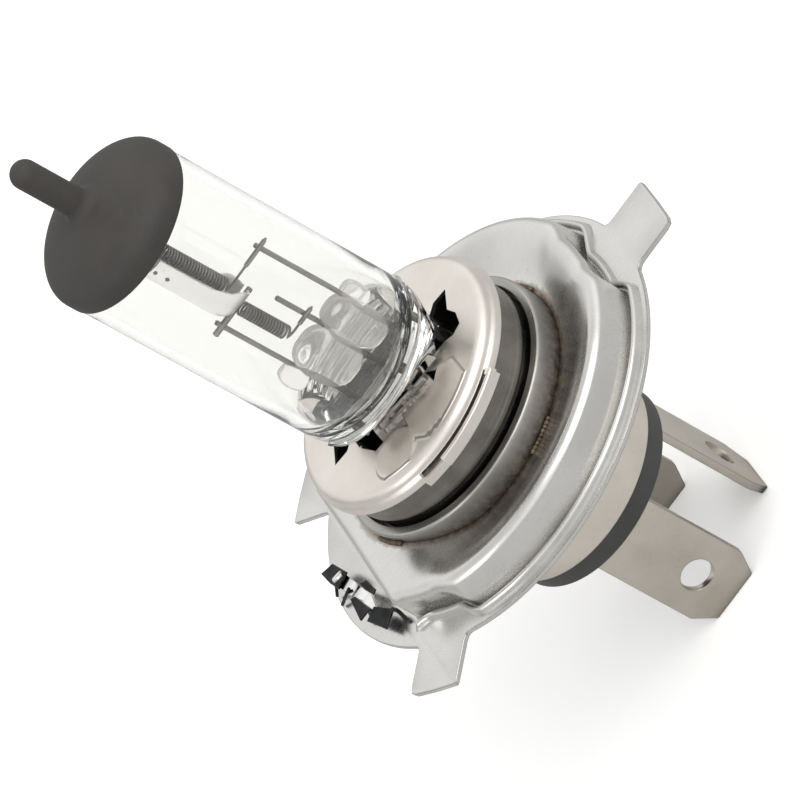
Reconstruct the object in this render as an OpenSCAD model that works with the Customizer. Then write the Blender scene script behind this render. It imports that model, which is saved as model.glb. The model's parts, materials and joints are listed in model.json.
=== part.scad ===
// Twin-filament halogen headlight bulb on a three-lug flange with three blade terminals.
// The bulb stands tip up: +Z runs along its axis towards the glass tip, +Y towards the wide lug
// and the crosswise terminal, and +X towards one of the two side terminals.
// The origin is on the axis, in the plane of the lugs' front faces, which seat in the headlight.

/* [Glass envelope] */
// Outer diameter of the glass tube
tube_d = 16.2; // [15.8:0.1:16.6]
// Wall thickness of the glass tube
tube_wall = 0.9; // [0.7:0.1:1.1]
// Height of the tube's lower edge, where it turns in to the pinch
tube_foot_z = 15.4; // [15:0.1:15.8]
// Height where the straight tube ends and the dome begins
dome_z = 43.9; // [43.4:0.1:44.4]
// Rise of the dome
dome_rise = 3.6; // [3.2:0.1:4]
// Diameter of the sealed exhaust tip
tip_d = 2.5; // [2.2:0.1:2.8]
// Height of the exhaust tip's end
tip_z = 55.1; // [54:0.1:56]
// Lower edge of the light-blocking top coating
coating_edge_z = 42.8; // [42:0.1:43.2]
// Thickness of the top coating
coating_t = 0.12; // [0.08:0.01:0.2]

/* [Pinch seal] */
// Width of the flattened glass pinch
pinch_w = 13; // [12:0.2:13.6]
// Thickness of the glass pinch
pinch_t = 3.2; // [2.8:0.1:3.6]
// Height of the pinch's lower end
pinch_foot_z = 3; // [2.5:0.1:4]

/* [Filaments and mount] */
// Diameter of the three support wires
support_d = 0.5; // [0.4:0.05:0.55]
// Outer diameter of both filament coils
coil_d = 1.5; // [1.3:0.05:1.6]
// Diameter of the coiled filament strand
strand_d = 0.24; // [0.2:0.02:0.26]
// Length of the low-beam coil
low_coil_l = 7.2; // [6:0.1:7.4]
// Length of the high-beam coil
high_coil_l = 5.2; // [4.5:0.1:5.4]
// Outer radius of the shield trough under the low-beam coil
shield_r = 2.3; // [2.1:0.05:2.4]

/* [Holder] */
// Radius of the holder disc at the front
disc_r = 12.3; // [12.1:0.1:12.5]
// Height of the holder disc's front face
disc_z = 11.4; // [11.2:0.1:11.6]
// Outer radius of the holder sleeve
sleeve_r = 11.6; // [11.4:0.1:11.7]
// Outer radius of the focusing collar
collar_r = 12.9; // [12.8:0.1:13]
// Height of the focusing collar's front edge
collar_z = 5.35; // [5:0.05:5.6]

/* [Flange] */
// Outer diameter of the lug ring
ring_d = 43; // [42.6:0.1:43.4]
// Sheet thickness of the lug ring and its lugs
ring_t = 0.5; // [0.4:0.05:0.6]
// Radius at which the lugs end
lug_reach = 26.2; // [25.6:0.1:26.6]
// Width of the wide lug
wide_lug_w = 7.8; // [7.4:0.1:8.2]
// Width of the two narrow lugs
narrow_lug_w = 6.3; // [6:0.1:6.6]
// Outer radius of the raised boss at its foot
boss_r = 19.6; // [19.4:0.1:19.7]
// Height of the boss crown
boss_z = 4.3; // [4:0.1:4.6]
// Distance of the boss's flat side from the axis
boss_flat = 15.6; // [15.4:0.1:16]

/* [Base and terminals] */
// Outer radius of the base shell
shell_r = 10.3; // [10.2:0.1:10.5]
// Height of the base shell's rolled rear edge
shell_foot_z = -10.7; // [-11:0.1:-10.5]
// Outer radius of the insulator
insulator_r = 9.95; // [9.9:0.05:10]
// Height of the insulator's rear face
insulator_foot_z = -12.9; // [-13.4:0.1:-12.5]
// Width of a terminal blade
blade_w = 7.8; // [7.6:0.1:7.8]
// Thickness of a terminal blade
blade_t = 0.8; // [0.7:0.05:0.8]
// Height of the terminal tips
blade_tip_z = -26.9; // [-27.4:0.1:-26.4]
// Distance of each terminal's middle from the axis
blade_offset = 8.5; // [8.3:0.1:8.55]
// Diameter of the hole in each terminal
hole_d = 3.2; // [2.8:0.1:3.4]
// Distance of the hole's middle from the terminal tip
hole_back = 4.8; // [4.4:0.1:5.2]

/* [Hidden] */
$fn = 64;

tube_r = tube_d / 2;
tube_bore_r = tube_r - tube_wall;
tip_r = tip_d / 2;
support_r = support_d / 2;
bend_swell = 1.08;
beyond = 60; // longer than the flange is wide, for cutting right through

// Round stretch of an outline, as points from angle a0 to angle a1
function arc_points(cx, cy, rx, ry, a0, a1, n = 10) =
    [for (i = [0:n]) let (a = a0 + (a1 - a0) * i / n) [cx + rx * cos(a), cy + ry * sin(a)]];

// Ring turned about the axis between two radii and two heights
module turned_ring(r_in, r_out, z0, z1) {
    translate([0, 0, z0])
        rotate_extrude()
            translate([r_in, 0]) square([r_out - r_in, z1 - z0]);
}

// Round bar from one point to the next, with a slightly fuller ball at each bend
module bent_wire(points, r) {
    for (i = [0:len(points) - 2])
        round_bar(points[i], points[i + 1], r);
    if (len(points) > 2)
        for (i = [1:len(points) - 2])
            translate(points[i]) sphere(r * bend_swell, $fn = 32);
}

module round_bar(a, b, r) {
    d = b - a;
    translate(a)
        rotate([0, acos(d.z / norm(d)), atan2(d.y, d.x)])
            cylinder(r = r, h = norm(d));
}

// ---- glass envelope ----
glass_foot_flat_r = 4.8;
glass_foot_z = 12.6;
glass_foot_round = 2.6;
tip_neck_h = 0.6;
cavity_z = 16.4;
cavity_round_r = 2.2;
cavity_round_h = 1.6;

module envelope_outline() {
    polygon(concat(
        [[0, glass_foot_z], [glass_foot_flat_r, glass_foot_z]],
        arc_points(tube_r - glass_foot_round, tube_foot_z,
            glass_foot_round, tube_foot_z - glass_foot_z, -80, 0, 8),
        arc_points(0, dome_z, tube_r, dome_rise, 0, 81, 12),
        [[tip_r, dome_z + dome_rise + tip_neck_h]],
        arc_points(0, tip_z - tip_r, tip_r, tip_r, 0, 90, 6)
    ));
}

module cavity_outline() {
    polygon(concat(
        [[0, cavity_z]],
        arc_points(tube_bore_r - cavity_round_r, cavity_z + cavity_round_h,
            cavity_round_r, cavity_round_h, -90, 0, 6),
        arc_points(0, dome_z, tube_bore_r, dome_rise - tube_wall, 0, 90, 10)
    ));
}

module pinch_slab() {
    translate([-pinch_t / 2, -pinch_w / 2, pinch_foot_z])
        cube([pinch_t, pinch_w, glass_foot_z - pinch_foot_z + 1]);
}

// ---- wire routes, each from its upper end down into the pinch ----
bridge_z = 19.5;
wire_top = [for (p = [[4.5, 31.1], [1.3, 26.1], [-3.35, 29.6]]) [0, p[0], p[1]]];
wire_jog = [-0.3, -0.5, 0.25];
wire_jog_h = 1.2;
wire_foot_z = 11.4;

function wire_route(i) = [
    wire_top[i],
    [0, wire_top[i].y, bridge_z + wire_jog_h / 2],
    [0, wire_top[i].y + wire_jog[i], bridge_z - wire_jog_h / 2],
    [0, wire_top[i].y + wire_jog[i], wire_foot_z]
];

module support_wire(i) {
    bent_wire(wire_route(i), support_r);
}

// ---- seal foils, one under each wire ----
foil_w = 2.6;
foil_t = 0.12;
foil_z0 = 5.4;

module foil(y) {
    translate([-foil_t / 2, y - foil_w / 2, foil_z0])
        cube([foil_t, foil_w, wire_foot_z - foil_z0]);
}

function foil_y(i) = wire_top[i].y + wire_jog[i];

// ---- outer leads, from the foils to the terminals ----
lead_r = 0.4;
lead_bend_z = 1.2;
lead_turn_z = -1.4;
lead_end_z = -3.8;
lead_clear = 0.05;
lead_out = blade_offset - blade_t / 2 - lead_r - lead_clear;
lead_target = [[0, lead_out], [lead_out, 0], [-lead_out, 0]];

function lead_route(i) = [
    [0, foil_y(i), foil_z0],
    [0, foil_y(i), lead_bend_z],
    [lead_target[i].x, lead_target[i].y, lead_turn_z],
    [lead_target[i].x, lead_target[i].y, lead_end_z]
];

module lead(i) {
    bent_wire(lead_route(i), lead_r);
}

module glass_envelope() {
    color([0.92, 0.95, 0.95, 0.35])
    difference() {
        union() {
            rotate_extrude() envelope_outline();
            pinch_slab();
        }
        rotate_extrude() cavity_outline();
        for (i = [0:2]) {
            support_wire(i);
            foil(foil_y(i));
            lead(i);
        }
    }
}

// ---- top coating ----
module top_coating() {
    color([0.2, 0.18, 0.17])
    difference() {
        rotate_extrude()
            polygon(concat(
                [[0, coating_edge_z], [tube_r + coating_t, coating_edge_z]],
                arc_points(0, dome_z, tube_r + coating_t, dome_rise + coating_t, 0, 80, 12),
                [[tip_r + coating_t, dome_z + dome_rise + tip_neck_h]],
                arc_points(0, tip_z - tip_r, tip_r + coating_t, tip_r + coating_t, 0, 90, 6)
            ));
        rotate_extrude() envelope_outline();
    }
}

module seal_foils() {
    color([0.45, 0.46, 0.48])
    for (i = [0:2]) foil(foil_y(i));
}

// ---- glass bridge that holds the three wires apart ----
bridge_lobe = [[2.75, 2.25], [-1.1, 2.5], [5.1, 0.95], [-4.2, 1.05]];
bridge_h = 3.6;
bridge_round = 0.7;
bridge_w = 2.8;
bridge_l = 12;

module bridge_lobe_solid(y, half) {
    translate([0, y, bridge_z])
        rotate_extrude()
            polygon(concat(
                [[0, -bridge_h / 2]],
                arc_points(half - bridge_round, 0, bridge_round, bridge_h / 2, -90, 90, 8),
                [[0, bridge_h / 2]]
            ));
}

module glass_bridge() {
    color([0.9, 0.92, 0.92, 0.5])
    difference() {
        intersection() {
            union() for (l = bridge_lobe) bridge_lobe_solid(l[0], l[1]);
            translate([0, 0, bridge_z]) cube([bridge_w, bridge_l, 2 * bridge_h], center = true);
        }
        for (i = [0:2]) support_wire(i);
    }
}

module upper_support_wire() { color([0.55, 0.54, 0.5]) support_wire(0); }
module middle_support_wire() { color([0.55, 0.54, 0.5]) support_wire(1); }

// ---- filaments ----
strand_sides = 6;
steps_per_turn = 14;
low_turns = 20;
high_turns = 16;
low_coil_z = 31.2;
low_coil_y = 0;
high_coil_z = 23.2;
high_coil_y = -1.05;

// Helix swept as one closed tube, standing on the origin
module coil(length, turns) {
    r = (coil_d - strand_d) / 2;
    n = turns * steps_per_turn;
    rings = [for (i = [0:n]) let (a = 360 * i / steps_per_turn, z = length * i / n)
        for (k = [0:strand_sides - 1]) let (b = 360 * k / strand_sides)
            [(r + strand_d / 2 * cos(b)) * cos(a), (r + strand_d / 2 * cos(b)) * sin(a),
             z + strand_d / 2 * sin(b)]];
    sides = [for (i = [0:n - 1], k = [0:strand_sides - 1])
        let (m = (k + 1) % strand_sides, p = i * strand_sides, q = p + strand_sides)
            [p + k, p + m, q + m, q + k]];
    first = [for (k = [strand_sides - 1:-1:0]) k];
    last = [for (k = [0:strand_sides - 1]) n * strand_sides + k];
    polyhedron(rings, concat(sides, [first, last]), convexity = 10);
}

module low_beam_filament() {
    color([0.35, 0.34, 0.33])
    translate([0, low_coil_y, low_coil_z]) coil(low_coil_l, low_turns);
}

module high_beam_filament() {
    color([0.35, 0.34, 0.33])
    translate([0, high_coil_y, high_coil_z]) coil(high_coil_l, high_turns);
}

// ---- legs and crimps, which tie each coil to its wire ----
leg_r = 0.14;
crimp_r = 0.3;
leg_side = support_r + crimp_r;
leg_drop = strand_d / 2 + leg_r;
leg_past = 1.1;
crimp_past = 0.8;
low_crimp_l = 1.9;
high_crimp_l = 0.9;
low_leg_z = low_coil_z - leg_drop;
high_leg_z = high_coil_z - leg_drop;

// Straight leg beside a support wire, from the coil's lower end to past the wire
module leg(y0, y1, z) {
    round_bar([leg_side, y0, z], [leg_side, y1, z], leg_r);
}

module crimp(y0, y1, z) {
    difference() {
        round_bar([leg_side, y0, z], [leg_side, y1, z], crimp_r);
        leg(y0 - 1, y1 + 1, z);
    }
}

module low_beam_leg() {
    color([0.4, 0.39, 0.38]) leg(low_coil_y, wire_top[0].y + leg_past, low_leg_z);
}

module low_beam_crimp() {
    color([0.5, 0.49, 0.46]) crimp(wire_top[0].y - low_crimp_l, wire_top[0].y + crimp_past, low_leg_z);
}

module high_beam_leg() {
    color([0.4, 0.39, 0.38]) leg(high_coil_y, wire_top[1].y + leg_past, high_leg_z);
}

module high_beam_crimp() {
    color([0.5, 0.49, 0.46]) crimp(wire_top[1].y - high_crimp_l, wire_top[1].y + crimp_past, high_leg_z);
}

// ---- low-beam shield, a trough with a rounded rear end ----
shield_t = 0.2;
shield_z0 = 29.2;
shield_z1 = 39.2;
shield_axis_y = -0.35;
shield_round = 1.5;
shield_lip_y = 1.2;
shield_lip_h = 1.3;
shield_slope_h = 2.8;

module shield_shell_outline() {
    polygon(concat(
        [[0, shield_z0]],
        arc_points(shield_r - shield_round, shield_z0 + shield_round,
            shield_round, shield_round, -90, 0, 8),
        [[shield_r, shield_z1], [shield_r - shield_t, shield_z1]],
        arc_points(shield_r - shield_round, shield_z0 + shield_round,
            shield_round - shield_t, shield_round - shield_t, 0, -90, 8),
        [[0, shield_z0 + shield_t]]
    ));
}

// Side view of the kept part: half a tube, with the rear end standing higher
module shield_side_view() {
    polygon([
        [-shield_r - 1, shield_z0 - 1], [shield_lip_y, shield_z0 - 1],
        [shield_lip_y, shield_z0 + shield_lip_h], [0, shield_z0 + shield_slope_h],
        [0, shield_z1 + 1], [-shield_r - 1, shield_z1 + 1]
    ]);
}

module low_beam_shield() {
    color([0.78, 0.77, 0.74])
    translate([0, shield_axis_y, 0])
        intersection() {
            rotate_extrude() shield_shell_outline();
            rotate([90, 0, 90])
                linear_extrude(2 * shield_r + 2, center = true) shield_side_view();
        }
}

rod_r = 0.3;
rod_z = shield_z0 - rod_r;
rod_y0 = 0.9;
rod_y1 = -4.4;

module rod_bar() {
    round_bar([0, rod_y0, rod_z], [0, rod_y1, rod_z], rod_r);
}

module shield_rod() { color([0.55, 0.54, 0.5]) rod_bar(); }

// The lower wire is notched where the rod crosses it
module lower_support_wire() {
    color([0.55, 0.54, 0.5])
    difference() {
        support_wire(2);
        rod_bar();
    }
}

// ---- pinch clip, a spring cage that grips the glass pinch ----
clip_t = 0.35;
clip_jaw_x = pinch_t / 2;
clip_w = 8.4;
clip_foot_z = 6;
clip_shelf = 5.2;
clip_fence_x = 4.3;
clip_fence_h = 1;
clip_jaw_rise = 0.7;
clip_shelf_rise = 0.35;
clip_gap_w = 3.2;
band_rise = 0.1;
band_foot_r = 6.5;
band_foot_w = 0.5;
band_belly = [8.05, 13.4];
band_top = [8.3, 14.2];
band_t = 0.32;

module clip_jaw() {
    // jaw against the flat of the pinch
    translate([clip_jaw_x, -clip_w / 2, clip_foot_z])
        cube([clip_t, clip_w, disc_z + clip_jaw_rise - clip_foot_z]);
    // shelf over the disc, turned out from the jaw
    translate([clip_jaw_x, -clip_w / 2, disc_z + clip_shelf_rise])
        cube([clip_shelf, clip_w, clip_t]);
    // upright fence on the shelf
    translate([clip_fence_x, -clip_w / 2, disc_z + clip_shelf_rise])
        cube([clip_t, clip_w, clip_fence_h]);
}

// Flared band round the glass foot, which it clears all the way up
module clip_band() {
    rotate_extrude()
        polygon([
            [band_foot_r, disc_z + band_rise], [band_foot_r + band_foot_w, disc_z + band_rise],
            band_belly, band_top, [band_top.x - band_t, band_top.y],
            [band_belly.x - 1.1 * band_t, band_belly.y + band_rise]
        ]);
}

module pinch_clip() {
    color([0.85, 0.85, 0.84]) {
        difference() {
            clip_band();
            // open where the ends of the pinch stand
            translate([-clip_gap_w / 2, -beyond / 2, disc_z - 1]) cube([clip_gap_w, beyond, band_top.y]);
        }
        for (a = [0, 180]) rotate([0, 0, a]) clip_jaw();
    }
}

// ---- holder disc ----
disc_t = 0.5;
disc_round = 1.3;
disc_skirt_z = 9.4;
skirt_h = 0.6;
skirt_flare = 0.35;
skirt_inset = 0.15;
slot_w = 4.6;
slot_l = 16.4;
slot_straight = 12.4;
pad_sink = 0.1;
pad_h = 0.3;
pad_slope = 0.35;
pad_r = 2;
pad_place = [8.6, -3.4];
panel_place = [6, 1.2];

skirt_r = disc_r + skirt_flare;

module disc_outline() {
    polygon(concat(
        [[0, disc_z - disc_t], [0, disc_z]],
        arc_points(disc_r - disc_round, disc_z - disc_round, disc_round, disc_round, 90, 12, 8),
        [[skirt_r, disc_skirt_z + skirt_h], [skirt_r, disc_skirt_z],
         [disc_r - skirt_inset, disc_skirt_z], [disc_r - skirt_inset, disc_skirt_z + skirt_h]],
        arc_points(disc_r - disc_round, disc_z - disc_round,
            disc_round - disc_t, disc_round - disc_t, 12, 90, 6)
    ));
}

// Slot for the pinch, pointed at both ends
module disc_opening() {
    translate([0, 0, disc_z])
        linear_extrude(beyond, center = true) {
            square([slot_w, slot_straight], center = true);
            for (s = [-1, 1])
                polygon([[-slot_w / 2, s * slot_straight / 2], [slot_w / 2, s * slot_straight / 2],
                         [slot_w / 12, s * (slot_l / 2 + 0.6)], [-slot_w / 5, s * (slot_l / 2 - 0.4)]]);
        }
}

module round_pad() {
    translate([pad_place.x, pad_place.y, disc_z - pad_sink])
        rotate_extrude()
            polygon([[0, 0], [pad_r, 0], [pad_r - pad_slope, pad_h], [0, pad_h]]);
}

module raised_panel() {
    translate([panel_place.x, panel_place.y, disc_z - pad_sink])
        linear_extrude(pad_sink + pad_h) polygon([[0, 0], [3.6, 0], [4.2, 3], [2.6, 5.6], [0, 4]]);
}

module holder_disc() {
    color([0.84, 0.81, 0.77])
    difference() {
        union() {
            rotate_extrude() disc_outline();
            for (a = [0, 180]) rotate([0, 0, a]) {
                round_pad();
                raised_panel();
            }
        }
        disc_opening();
    }
}

// ---- outer tab of the disc's skirt ----
tab_gap = 0.3;
tab_t = 0.4;
tab_foot_h = 0.4;
tab_drop = 0.9;
tab_a0 = -6;
tab_a1 = 42;

module disc_tab() {
    color([0.84, 0.81, 0.77])
    for (a = [0, 180])
        rotate([0, 0, a + tab_a0])
            rotate_extrude(angle = tab_a1 - tab_a0)
                polygon([
                    [skirt_r, disc_skirt_z], [skirt_r + tab_gap + tab_t, disc_skirt_z],
                    [skirt_r + tab_gap + tab_t, disc_z - tab_drop],
                    [skirt_r + tab_gap, disc_z - tab_drop],
                    [skirt_r + tab_gap, disc_skirt_z + tab_foot_h], [skirt_r, disc_skirt_z + tab_foot_h]
                ]);
}

// ---- holder sleeve ----
sleeve_t = 0.5;
sleeve_foot_z = 1.2;
sleeve_joint = 0.05;
sleeve_bevel_h = 0.75;
bead_z = 6.5;
bead_h = 1.2;
bead_flat_h = 0.6;
bead_rise = 0.2;

module holder_sleeve() {
    sleeve_top_z = disc_z - disc_t - sleeve_joint;
    color([0.36, 0.35, 0.33])
    rotate_extrude()
        polygon([
            [sleeve_r - sleeve_t, sleeve_foot_z], [sleeve_r, sleeve_foot_z],
            [sleeve_r, bead_z - bead_h / 2], [sleeve_r + bead_rise, bead_z - bead_flat_h / 2],
            [sleeve_r + bead_rise, bead_z + bead_flat_h / 2], [sleeve_r, bead_z + bead_h / 2],
            [sleeve_r, sleeve_top_z - sleeve_bevel_h], [sleeve_r - sleeve_t, sleeve_top_z]
        ]);
}

// ---- boss plate: dished face, round shoulder and wall, with one flat side ----
sheet = 0.8;
boss_foot_z = -0.1;
dish_r = 13.6;
dish_z = 2.6;
shoulder_r = 1.1;
lug_bite = 18.5;
lug_bite_gap = 1.2;
lug_angles = [90, -45, -135];

function lug_w(i) = i == 0 ? wide_lug_w : narrow_lug_w;

// Solid under the plate's skin, drawn in by the sheet thickness t for its hollow
module boss_solid(t) {
    r = boss_r - t;
    intersection() {
        rotate_extrude()
            polygon(concat(
                [[0, boss_foot_z - t], [r, boss_foot_z - t]],
                arc_points(boss_r - shoulder_r, boss_z - shoulder_r,
                    shoulder_r - t, shoulder_r - t, 0, 90, 8),
                [[dish_r, dish_z - t], [0, dish_z - t]]
            ));
        linear_extrude(beyond, center = true)
            difference() {
                translate([-beyond / 2, -boss_flat + t]) square(beyond);
                for (i = [0:2])
                    rotate([0, 0, lug_angles[i]])
                        translate([lug_bite - t, -lug_w(i) / 2 - lug_bite_gap])
                            square([beyond, lug_w(i) + 2 * lug_bite_gap]);
            }
    }
}

module boss_plate() {
    color([0.79, 0.78, 0.77])
    difference() {
        boss_solid(0);
        boss_solid(sheet);
        cylinder(r = collar_r, h = beyond, center = true);
    }
}

// ---- focusing collar: upright ring in the boss plate's opening ----
collar_t = 0.8;
collar_foot_z = 1.2;
collar_foot_h = 1;
collar_edge = 0.25;

module focusing_collar() {
    color([0.66, 0.65, 0.63])
    rotate_extrude()
        polygon([
            [collar_r, collar_foot_z],
            [collar_r, collar_z - collar_edge], [collar_r - collar_edge, collar_z],
            [collar_r - collar_t, collar_z],
            [collar_r - collar_t, collar_foot_z + collar_foot_h], [sleeve_r, collar_foot_z + collar_foot_h],
            [sleeve_r, collar_foot_z]
        ]);
}

// ---- weld beads between the collar and the boss plate ----
weld_count = 4;
weld_r = 0.7;
weld_arc = 16;
weld_start = 15;

module collar_welds() {
    color([0.42, 0.36, 0.3])
    for (k = [0:weld_count - 1])
        rotate([0, 0, weld_start + 360 * k / weld_count])
            rotate_extrude(angle = weld_arc)
                polygon([[collar_r, dish_z], [collar_r + weld_r, dish_z], [collar_r, dish_z + weld_r]]);
}

// ---- lug ring ----
ring_r = ring_d / 2;
ring_bore_r = 16.2;
recess_r = 20.3;
lip_in_r = boss_r + 0.3;
lip_top_r = lip_in_r + 0.55;
lip_foot_r = ring_r - 0.15;
lip_z = 0.85;
lip_sink = 0.1;
lug_corner = 0.6;
lug_corner_small = 0.2;
lug_root = 3;
lug_gap = 1.2;

module lug_outline(i) {
    w = lug_w(i) / 2;
    rotate([0, 0, lug_angles[i]])
        polygon([
            [ring_r - lug_root, -w], [lug_reach - lug_corner, -w], [lug_reach, -w + lug_corner],
            [lug_reach, w - lug_corner_small], [lug_reach - lug_corner_small, w], [ring_r - lug_root, w]
        ]);
}

// Raised lip round the boss, open at the flat side and at the lugs
module ring_lip() {
    difference() {
        rotate_extrude()
            polygon([
                [lip_in_r, boss_foot_z - lip_sink], [recess_r + lip_sink, boss_foot_z - lip_sink],
                [lip_foot_r, 0], [lip_top_r, lip_z], [lip_in_r, lip_z]
            ]);
        translate([-beyond / 2, -boss_flat - beyond, -beyond / 2]) cube(beyond);
        for (i = [0:2])
            rotate([0, 0, lug_angles[i]])
                translate([0, -lug_w(i) / 2 - lug_gap, -beyond / 2])
                    cube([beyond, lug_w(i) + 2 * lug_gap, beyond]);
    }
}

module lug_ring() {
    color([0.79, 0.78, 0.77])
    union() {
        difference() {
            translate([0, 0, -ring_t])
                linear_extrude(ring_t)
                    union() {
                        circle(ring_r, $fn = 128);
                        for (i = [0:2]) lug_outline(i);
                    }
            // shallow recess for the boss plate's foot, round the central opening
            translate([0, 0, boss_foot_z]) cylinder(r = recess_r, h = beyond, $fn = 128);
            cylinder(r = ring_bore_r, h = beyond, $fn = 128, center = true);
        }
        ring_lip();
    }
}

// ---- retaining clip on the flat side of the boss ----
clip_bar_y = -boss_flat - 2.7;
clip_bar_l = 12;
clip_bar_w = 1.7;
clip_bar_t = 0.4;
clip_ear_x = [-6, 1.6];
clip_ear_w = 3.2;
clip_ear_h = 1;
clip_hook_l = 0.8;
clip_hook_t = 0.3;
clip_hook_inset = 0.5;
clip_tongue = [1.6, 1.4];
clip_tongue_x = -1.2;

module retaining_clip() {
    color([0.3, 0.3, 0.3])
    translate([0, clip_bar_y, boss_foot_z]) {
        translate([-clip_bar_l / 2, 0, 0]) cube([clip_bar_l, clip_bar_w, clip_bar_t]);
        for (x = clip_ear_x)
            translate([x, 0, clip_bar_t]) {
                cube([clip_ear_w, clip_bar_w, clip_ear_h]);
                translate([clip_hook_inset, -clip_hook_l, clip_ear_h - clip_hook_t])
                    cube([clip_ear_w - 2 * clip_hook_inset, clip_hook_l, clip_hook_t]);
            }
        translate([clip_tongue_x, clip_bar_w / 2, clip_bar_t])
            cube([clip_tongue.x, clip_bar_w / 2, clip_tongue.y]);
    }
}

// ---- base shell ----
shell_t = 0.45;
shell_flange_r = 18;
shell_bend = 1.1;
shell_bend_in = 0.8;
shell_foot_round = 0.4;

module base_shell() {
    color([0.83, 0.8, 0.76])
    rotate_extrude()
        polygon([
            [shell_r - shell_t, shell_foot_z + shell_foot_round],
            [shell_r - shell_t / 2, shell_foot_z], [shell_r, shell_foot_z + shell_foot_round],
            [shell_r, -ring_t - shell_t - shell_bend], [shell_r + shell_bend, -ring_t - shell_t],
            [shell_flange_r, -ring_t - shell_t], [shell_flange_r, -ring_t],
            [shell_r + shell_bend_in, -ring_t],
            [shell_r - shell_t, -ring_t - shell_bend_in - shell_t]
        ]);
}

// ---- insulator with three slots ----
plug_r = shell_r - shell_t;
plug_groove = 0.35;
plug_groove_h = 0.5;
insulator_top_z = -4.4;
insulator_hollow = [11, 11, 1.4];
insulator_hollow_y = -1;
blade_top_z = -2.8;

module terminal_bar(grow = 0) {
    translate([-blade_w / 2 - grow, -blade_t / 2 - grow, blade_tip_z])
        cube([blade_w + 2 * grow, blade_t + 2 * grow, blade_top_z - blade_tip_z]);
}

// Stands a piece drawn at the axis in the place of terminal i: top, right or left
module at_terminal(i) {
    rotate([0, 0, [0, -90, 90][i]])
        translate([0, blade_offset, 0]) children();
}

module insulator() {
    color([0.24, 0.25, 0.24])
    difference() {
        union() {
            turned_ring(0, insulator_r, insulator_foot_z, shell_foot_z);
            turned_ring(0, plug_r - plug_groove, shell_foot_z, shell_foot_z + plug_groove_h);
            turned_ring(0, plug_r, shell_foot_z + plug_groove_h, insulator_top_z);
        }
        for (i = [0:2]) at_terminal(i) terminal_bar();
        // hollow on the rear face between the terminals
        translate([0, insulator_hollow_y, insulator_foot_z])
            cube([insulator_hollow.x, insulator_hollow.y, 2 * insulator_hollow.z], center = true);
    }
}

// ---- terminals ----
tip_cut_w = 1.3;
tip_cut_h = 2.4;

module terminal() {
    difference() {
        intersection() {
            terminal_bar();
            translate([0, blade_t, 0])
                rotate([90, 0, 0])
                    linear_extrude(2 * blade_t)
                        polygon([
                            [-blade_w / 2 + tip_cut_w, blade_tip_z],
                            [blade_w / 2 - tip_cut_w, blade_tip_z],
                            [blade_w / 2, blade_tip_z + tip_cut_h],
                            [blade_w / 2, blade_top_z],
                            [-blade_w / 2, blade_top_z], [-blade_w / 2, blade_tip_z + tip_cut_h]
                        ]);
        }
        translate([0, 0, blade_tip_z + hole_back])
            rotate([90, 0, 0]) cylinder(d = hole_d, h = beyond, center = true);
    }
}

module upper_terminal() { color([0.7, 0.67, 0.63]) at_terminal(0) terminal(); }
module right_terminal() { color([0.7, 0.67, 0.63]) at_terminal(1) terminal(); }
module left_terminal() { color([0.7, 0.67, 0.63]) at_terminal(2) terminal(); }

// ---- outer leads and the joints that fix them to the terminals ----
module outer_leads() {
    color([0.6, 0.58, 0.54])
    for (i = [0:2]) lead(i);
}

joint_r = 0.75;
joint_rise = 0.2;

module lead_joints() {
    color([0.62, 0.6, 0.56])
    difference() {
        for (i = [0:2])
            at_terminal(i)
                translate([0, -blade_t / 2, lead_end_z + joint_rise])
                    rotate([90, 0, 0]) cylinder(r = joint_r, h = 2 * lead_r);
        for (i = [0:2]) lead(i);
    }
}

glass_envelope();
top_coating();
seal_foils();
glass_bridge();
upper_support_wire();
middle_support_wire();
lower_support_wire();
low_beam_filament();
low_beam_leg();
low_beam_crimp();
low_beam_shield();
shield_rod();
high_beam_filament();
high_beam_leg();
high_beam_crimp();
pinch_clip();
holder_disc();
disc_tab();
holder_sleeve();
focusing_collar();
collar_welds();
boss_plate();
lug_ring();
retaining_clip();
base_shell();
insulator();
outer_leads();
lead_joints();
upper_terminal();
right_terminal();
left_terminal();
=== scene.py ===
import json
import math

import bmesh
import bpy
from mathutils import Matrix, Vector


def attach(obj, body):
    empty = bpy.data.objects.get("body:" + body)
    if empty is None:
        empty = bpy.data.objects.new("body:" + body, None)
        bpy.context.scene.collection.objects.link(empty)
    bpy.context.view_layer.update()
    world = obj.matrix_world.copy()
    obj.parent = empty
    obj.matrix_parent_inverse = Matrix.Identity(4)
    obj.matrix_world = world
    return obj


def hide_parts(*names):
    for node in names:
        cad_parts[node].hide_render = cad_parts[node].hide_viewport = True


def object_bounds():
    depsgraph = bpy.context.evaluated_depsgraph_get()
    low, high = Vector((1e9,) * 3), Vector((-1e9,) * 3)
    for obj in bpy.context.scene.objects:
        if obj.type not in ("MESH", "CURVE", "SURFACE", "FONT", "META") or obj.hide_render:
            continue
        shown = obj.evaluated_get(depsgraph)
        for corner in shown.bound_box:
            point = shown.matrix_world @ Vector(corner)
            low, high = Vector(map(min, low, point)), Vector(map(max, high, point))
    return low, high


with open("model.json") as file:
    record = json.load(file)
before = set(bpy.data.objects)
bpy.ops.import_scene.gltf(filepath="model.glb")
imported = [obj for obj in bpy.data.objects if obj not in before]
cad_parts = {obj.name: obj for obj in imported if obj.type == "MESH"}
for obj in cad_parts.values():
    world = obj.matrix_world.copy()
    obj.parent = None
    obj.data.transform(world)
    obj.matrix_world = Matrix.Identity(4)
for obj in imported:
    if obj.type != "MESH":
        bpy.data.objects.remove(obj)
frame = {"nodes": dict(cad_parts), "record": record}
cad_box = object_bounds()

MM = 0.001
TURN_STEPS = 192
FULL_TURN = 2 * math.pi


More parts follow.
